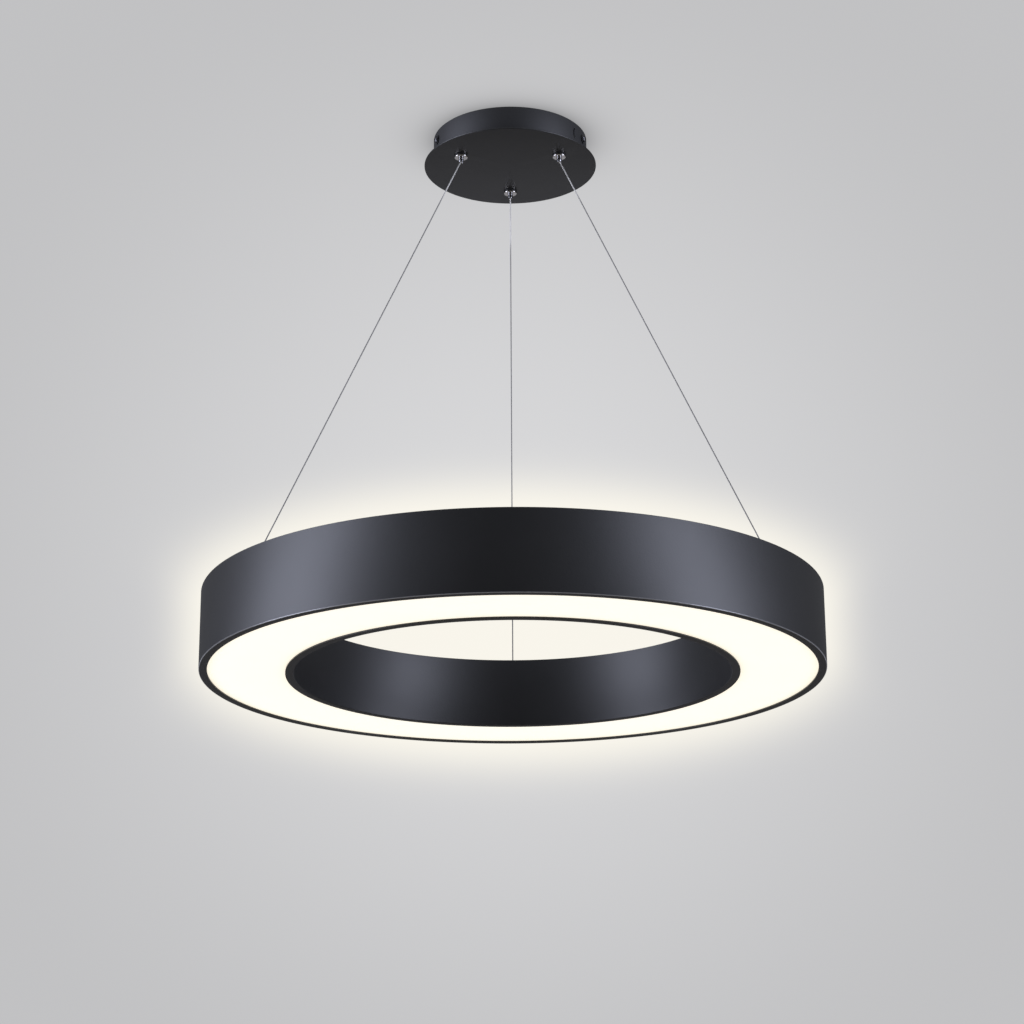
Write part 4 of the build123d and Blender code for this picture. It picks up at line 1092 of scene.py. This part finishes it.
class LAMP_OT_wires(bpy.types.Operator):
    """Lay the strands of each wire along its taut line"""
    bl_idname = "lamp.wires"
    bl_label = "Suspension wires"

    def execute(self, context):
        rope = context.scene.lamp_rope
        straight = 6 * rope.diameter
        for index, turn in enumerate(WIRE_TURNS):
            top = Vector(at_turn(rope.top_radius, turn, rope.top))
            end = Vector(at_turn(rope.low_radius, turn, rope.ball))
            way = (end - top).normalized()
            end = end - way * (rope.ball_radius + 0.1 * MM)
            route = [top, top + way * straight, end - way * straight, end]
            line = self.line(f"wire_route_{index + 1}", route)
            wire = self.strands(rope, f"twisted_wire_{index + 1}", line)
            smoothed(wire, 60)
            settle(wire, "canopy", "wire_steel", f"suspension_wire_{index + 1}")
            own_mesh(wire)
        return {"FINISHED"}

    def line(self, name, route):
        """Points read from the NURBS spline through the route."""
        curve = bpy.data.curves.new(name, "CURVE")
        curve.dimensions = "3D"
        curve.resolution_u = 24
        spline = curve.splines.new("NURBS")
        spline.points.add(len(route) - 1)
        for point, place in zip(spline.points, route):
            point.co = (*place, 1)
        spline.order_u = 3
        spline.use_endpoint_u = True
        holder = bpy.data.objects.new(name, curve)
        bpy.context.scene.collection.objects.link(holder)
        bpy.context.view_layer.update()
        mesh = bpy.data.meshes.new_from_object(holder)
        points = [vertex.co.copy() for vertex in mesh.vertices]
        bpy.data.meshes.remove(mesh)
        bpy.data.objects.remove(holder)
        bpy.data.curves.remove(curve)
        return points

    def strands(self, rope, name, line):
        """Skin of the rope: a lobed ring, one lobe to a strand, that turns as it follows the line."""
        span = (line[-1] - line[0]).length
        rings_to_a_lay = 14
        count = max(2, int(span / rope.lay * rings_to_a_lay))
        way = (line[-1] - line[0]).normalized()
        side = way.cross(Vector((0, 0, 1))).normalized()
        other = way.cross(side).normalized()
        outer = rope.diameter / 2
        level = [1.0, 0.993, 0.97, 0.993]    # from a strand's back down into the groove and up again
        sides = rope.strands * len(level)
        vertices, faces = [], []
        for step in range(count + 1):
            middle = self.along(line, step / count)
            twist = 2 * pi * span * step / count / rope.lay
            for lobe in range(sides):
                angle = twist + 2 * pi * lobe / sides
                radius = outer * level[lobe % len(level)]
                vertices.append(middle + (side * cos(angle) + other * sin(angle)) * radius)
        for step in range(count):
            for lobe in range(sides):
                a, b = step * sides + lobe, step * sides + (lobe + 1) % sides
                faces.append((a, b, b + sides, a + sides))
        faces.append(tuple(range(sides))[::-1])
        faces.append(tuple(count * sides + lobe for lobe in range(sides)))
        mesh = bpy.data.meshes.new(name)
        mesh.from_pydata(vertices, [], faces)
        wire = bpy.data.objects.new(name, mesh)
        bpy.context.scene.collection.objects.link(wire)
        pick(wire)
        bpy.ops.object.mode_set(mode="EDIT")
        bpy.ops.mesh.select_all(action="SELECT")
        bpy.ops.mesh.normals_make_consistent(inside=False)
        bpy.ops.object.mode_set(mode="OBJECT")
        return wire

    def along(self, line, part):
        """Point at a share of the line's length."""
        spans = [(b - a).length for a, b in zip(line, line[1:])]
        left = part * sum(spans)
        for (a, b), span in zip(zip(line, line[1:]), spans):
            if left <= span or b is line[-1]:
                return a.lerp(b, min(1.0, left / max(span, 1e-9)))
            left -= span
        return line[-1]


class LAMP_OT_finishes(bpy.types.Operator):
    """Give every node of the model its finish"""
    bl_idname = "lamp.finishes"
    bl_label = "Finishes"

    def execute(self, context):
        for row in frame["record"]["subparts"]:
            node = frame["nodes"][row["node"]]
            for place in node.material_slots:
                place.material = finish(row["material_slot"])
            if not node.material_slots:
                raise RuntimeError(f"{node.name} has no material slot")
        return {"FINISHED"}


# ---------------------------------------------------------------- operators: the stage
# The photograph's camera, as fitted to the edges of the ring and of the canopy.
CAMERA_PLACE = Vector((0.0, -2.2916, -1.1294))
CAMERA_PITCH = radians(17.636)
CAMERA_ROLL = radians(-0.3)
FOCAL_PIXELS = 2450.0
PHOTO_PIXELS = 1024
SENSOR_WIDTH = 36.0

# The backdrop, with the sizes on it in the photograph's pixels.
BACKDROP_AWAY = 8.0
PIXEL = BACKDROP_AWAY / FOCAL_PIXELS
BACKDROP_SIDE = 1374
CENTRE_DOWN = 39
CENTRE_WIDE, CENTRE_TALL = 666, 674
RING_TOP_ROW, RING_LOW_ROW = 601.3, 649.3
RING_WIDE, RING_TALL = 310.9, 96.0
NEAR_SPAN, FAR_SPAN, BLOOM_SPAN = 16.6, 51.3, 32.1
NEAR_SHARE, FAR_SHARE, BLOOM_SHARE = 0.20, 0.05, 0.65

# Soft boxes: place, size and tint.
SOFT_BOXES = {
    "left": ((-2.436, -0.562, -0.27), (3.4, 1.4), (0.78, 0.82, 1.0)),
    "right": ((2.266, -1.057, -0.2), (2.9, 1.1), (0.78, 0.82, 1.0)),
    "top": ((0.0, -0.3, 2.7), (1.8, 1.8), (0.9, 0.93, 1.0)),
    "back": ((0.0, 2.6, -1.05), (4.4, 1.6), (0.86, 0.88, 1.0)),
}
BOX_AIM = Vector((0, 0, -0.5))
FLOOR_HEIGHT, FLOOR_RADIUS = -2.4, 30
SHADE_RADIUS, SHADE_SPAN, SHADE_DEPTH = 0.24, 18 * MM, 0.42


class LAMP_OT_studio(bpy.types.Operator):
    """Set up the camera, the backdrop with its warm halo, the floor and the soft boxes"""
    bl_idname = "lamp.studio"
    bl_label = "Studio"

    def execute(self, context):
        context.scene.view_settings.view_transform = "Standard"
        self.camera(context)
        self.world(context)
        self.backdrop(context)
        self.contact_shade(context)
        self.floor(context)
        for side, (place, size, tint) in SOFT_BOXES.items():
            power = getattr(context.scene.lamp_studio, f"{side}_power")
            self.soft_box(f"{side}_box", place, size, power, tint)
        return {"FINISHED"}

    def camera(self, context):
        """Camera at the photograph's place and angle."""
        start_clean()
        bpy.ops.object.camera_add(location=CAMERA_PLACE)
        camera = context.object
        camera.name = "photo_camera"
        camera.data.sensor_fit = "HORIZONTAL"
        camera.data.sensor_width = SENSOR_WIDTH
        camera.data.lens = FOCAL_PIXELS / PHOTO_PIXELS * SENSOR_WIDTH
        camera.data.clip_start = 0.01
        ahead = Vector((0, cos(CAMERA_PITCH), sin(CAMERA_PITCH)))
        right = Vector((1, 0, 0))
        up = right.cross(ahead)
        tilted_right = right * cos(CAMERA_ROLL) + up * sin(CAMERA_ROLL)
        tilted_up = up * cos(CAMERA_ROLL) - right * sin(CAMERA_ROLL)
        axes = Matrix((tilted_right, tilted_up, -ahead)).transposed().to_4x4()
        camera.matrix_world = Matrix.Translation(CAMERA_PLACE) @ axes
        context.scene.camera = camera

    def world(self, context):
        """Even dim light, with the backdrop's grey for the camera and a share of it in gloss and glass."""
        studio = context.scene.lamp_studio
        world = bpy.data.worlds.new("studio_world")
        context.scene.world = world
        world.use_nodes = True
        tree = world.node_tree
        tree.nodes.clear()
        out = tree.nodes.new("ShaderNodeOutputWorld")
        path = tree.nodes.new("ShaderNodeLightPath")
        mix = tree.nodes.new("ShaderNodeMixShader")
        light = tree.nodes.new("ShaderNodeBackground")
        shown = tree.nodes.new("ShaderNodeBackground")
        light.inputs["Color"].default_value = (0.96, 0.98, 1.0, 1)
        light.inputs["Strength"].default_value = studio.fill
        shown.inputs["Color"].default_value = rgba(studio.grey)
        bent = maths(tree, "MAXIMUM", path.outputs["Is Glossy Ray"], path.outputs["Is Transmission Ray"])
        bent = times(tree, bent, studio.mirrored)
        tree.links.new(maths(tree, "MAXIMUM", path.outputs["Is Camera Ray"], bent), mix.inputs[0])
        tree.links.new(light.outputs[0], mix.inputs[1])
        tree.links.new(shown.outputs[0], mix.inputs[2])
        tree.links.new(mix.outputs[0], out.inputs[0])

    def see_through_back(self, tree, shader, shown=None):
        """One-sided stage surface: clear from behind, and for all rays but the camera's."""
        out = tree.nodes.new("ShaderNodeOutputMaterial")
        clear = tree.nodes.new("ShaderNodeBsdfTransparent")
        face = tree.nodes.new("ShaderNodeNewGeometry")
        path = tree.nodes.new("ShaderNodeLightPath")
        mix = tree.nodes.new("ShaderNodeMixShader")
        front = maths(tree, "SUBTRACT", 1.0, face.outputs["Backfacing"])
        mask = times(tree, front, path.outputs["Is Camera Ray"])
        if shown is not None:
            mask = times(tree, mask, shown)
        tree.links.new(mask, mix.inputs[0])
        tree.links.new(clear.outputs[0], mix.inputs[1])
        tree.links.new(shader.outputs[0], mix.inputs[2])
        tree.links.new(mix.outputs[0], out.inputs[0])

    def backdrop(self, context):
        """Upright sheet square to the camera, with painted light on it: a soft vignette, lighter in the
        middle, and a warm halo round the ring.
        """
        studio = context.scene.lamp_studio
        start_clean()
        ahead = Vector((0, cos(CAMERA_PITCH), sin(CAMERA_PITCH)))
        bpy.ops.mesh.primitive_plane_add(size=BACKDROP_SIDE * PIXEL,
                                         location=CAMERA_PLACE + ahead * BACKDROP_AWAY,
                                         rotation=(radians(90) + CAMERA_PITCH, 0, 0))
        sheet = named("backdrop")
        material, tree = bare("backdrop_glow")
        x, y, _ = object_xyz(tree)
        up = maths(tree, "SUBTRACT", y, -CENTRE_DOWN * PIXEL)
        from_middle = oval(tree, x, up, CENTRE_WIDE * PIXEL, CENTRE_TALL * PIXEL)
        # Painted light: the backdrop turns to the lighter centre grey towards its middle.
        middle = ranged(tree, from_middle, 0.0, 1.0, 1.0, 0.0)
        grey = blend_colours(tree, middle, rgba(studio.grey), rgba(studio.grey_centre))
        lit = blend_colours(tree, self.halo(tree, x, y), grey, rgba(studio.halo))
        shown = tree.nodes.new("ShaderNodeEmission")
        tree.links.new(lit, shown.inputs["Color"])
        self.see_through_back(tree, shown)
        sheet.data.materials.append(material)

    def halo(self, tree, x, y):
        """Light round the ring's outline, which is an ellipse drawn out along a short upright line."""
        line = tree.nodes.new("ShaderNodeClamp")
        tree.links.new(y, line.inputs[0])
        line.inputs[1].default_value = (PHOTO_PIXELS / 2 - RING_LOW_ROW) * PIXEL
        line.inputs[2].default_value = (PHOTO_PIXELS / 2 - RING_TOP_ROW) * PIXEL
        off = maths(tree, "SUBTRACT", y, line.outputs[0])
        wide, tall = RING_WIDE * PIXEL, RING_TALL * PIXEL
        level = oval(tree, x, off, wide, tall)
        slope = maths(tree, "MAXIMUM", oval(tree, x, off, wide * wide, tall * tall), 1e-3)
        outside = times(tree, maths(tree, "SUBTRACT", level, 1.0), level)
        gap = maths(tree, "MAXIMUM", maths(tree, "DIVIDE", outside, slope), 0.0)
        near = times(tree, fading(tree, gap, NEAR_SPAN * PIXEL), NEAR_SHARE)
        far = times(tree, fading(tree, gap, FAR_SPAN * PIXEL), FAR_SHARE)
        spans = maths(tree, "DIVIDE", gap, BLOOM_SPAN * PIXEL)
        bloom = times(tree, fading(tree, times(tree, spans, spans), 1.0), BLOOM_SHARE)
        return plus(tree, plus(tree, near, far), bloom)

    def contact_shade(self, context):
        """Painted shade: faint on the ceiling round the drum, and full over the drum's open top."""
        size = context.scene.lamp_canopy
        start_clean()
        bpy.ops.mesh.primitive_circle_add(vertices=96, radius=SHADE_RADIUS, fill_type="NGON",
                                          location=(0, 0, 0.4 * MM), rotation=(pi, 0, 0))
        card = named("ceiling_shade")
        material, tree = bare("ceiling_shade")
        x, y, _ = object_xyz(tree)
        radius = reach(tree, x, y)
        gap = maths(tree, "MAXIMUM", maths(tree, "SUBTRACT", radius, size.drum_radius), 0.0)
        shade = times(tree, fading(tree, gap, SHADE_SPAN), SHADE_DEPTH)
        # Painted shade: inside the drum's radius the card is fully dark.
        inside = maths(tree, "LESS_THAN", radius, size.drum_radius - size.drum_sheet)
        dark = tree.nodes.new("ShaderNodeEmission")
        dark.inputs["Color"].default_value = (0.03, 0.03, 0.032, 1)
        self.see_through_back(tree, dark, maths(tree, "MAXIMUM", shade, inside))
        card.data.materials.append(material)

    def floor(self, context):
        """Plain pale floor far below the lamp."""
        studio = context.scene.lamp_studio
        start_clean()
        bpy.ops.mesh.primitive_circle_add(vertices=96, radius=FLOOR_RADIUS, fill_type="NGON",
                                          location=(0, 0, FLOOR_HEIGHT))
        floor = named("floor")
        material, tree, shader = blank("pale_floor")
        grain = noise(tree, object_point(tree), 3.0)
        base = studio.floor
        tree.links.new(blend_colours(tree, grain, rgba(base), rgba([value * 0.96 for value in base])),
                       shader.inputs["Base Color"])
        shader.inputs["Roughness"].default_value = 0.8
        path = tree.nodes.new("ShaderNodeLightPath")
        shader.inputs["Emission Color"].default_value = rgba(studio.grey)
        tree.links.new(times(tree, path.outputs["Is Camera Ray"], 0.8), shader.inputs["Emission Strength"])
        floor.data.materials.append(material)

    def soft_box(self, name, place, size, power, tint):
        """Large area lamp that looks at the ring."""
        start_clean()
        bpy.ops.object.light_add(type="AREA", location=place)
        lamp = bpy.context.object
        lamp.name = name
        lamp.data.shape = "RECTANGLE"
        lamp.data.size, lamp.data.size_y = size
        lamp.data.energy = power
        lamp.data.color = tint
        aim = BOX_AIM - Vector(place)
        lamp.rotation_euler = aim.to_track_quat("-Z", "Z").to_euler()
        lamp.visible_camera = False


# ---------------------------------------------------------------- panel and registration
STEPS = (LAMP_OT_finishes, LAMP_OT_outer_wall, LAMP_OT_inner_wall, LAMP_OT_opal_ring, LAMP_OT_sockets,
         LAMP_OT_drum, LAMP_OT_disc, LAMP_OT_side_screws, LAMP_OT_grippers, LAMP_OT_springs, LAMP_OT_wires,
         LAMP_OT_studio)
GROUPS = {"lamp_ring": RingSizes, "lamp_canopy": CanopySizes, "lamp_rope": RopeSizes,
          "lamp_gripper": GripperSizes, "lamp_finish": FinishColours, "lamp_studio": StudioSettings}


class LAMP_PT_panel(bpy.types.Panel):
    """Sizes, colours and building steps of the ring lamp"""
    bl_label = "Ring lamp"
    bl_idname = "LAMP_PT_panel"
    bl_space_type = "VIEW_3D"
    bl_region_type = "UI"
    bl_category = "Ring lamp"

    def draw(self, context):
        for key, group in GROUPS.items():
            box = self.layout.box()
            box.label(text=group.__doc__)
            for field in group.__annotations__:
                box.prop(getattr(context.scene, key), field)
        for step in STEPS:
            self.layout.operator(step.bl_idname)


def register():
    """Registers the settings, the steps and the panel."""
    for group in GROUPS.values():
        bpy.utils.register_class(group)
    for key, group in GROUPS.items():
        setattr(bpy.types.Scene, key, bpy.props.PointerProperty(type=group))
    for step in STEPS:
        bpy.utils.register_class(step)
    bpy.utils.register_class(LAMP_PT_panel)


def unregister():
    """Takes everything back."""
    bpy.utils.unregister_class(LAMP_PT_panel)
    for step in reversed(STEPS):
        bpy.utils.unregister_class(step)
    for key in GROUPS:
        delattr(bpy.types.Scene, key)
    for group in reversed(list(GROUPS.values())):
        bpy.utils.unregister_class(group)


def main():
    """Builds the lamp and its studio step by step."""
    register()
    bpy.ops.lamp.finishes()
    bpy.ops.lamp.outer_wall()
    bpy.ops.lamp.inner_wall()
    bpy.ops.lamp.opal_ring()
    bpy.ops.lamp.sockets()
    bpy.ops.lamp.drum()
    bpy.ops.lamp.disc()
    bpy.ops.lamp.side_screws()
    bpy.ops.lamp.grippers()
    bpy.ops.lamp.springs()
    bpy.ops.lamp.wires()
    bpy.ops.lamp.studio()


if __name__ == "__main__":
    main()
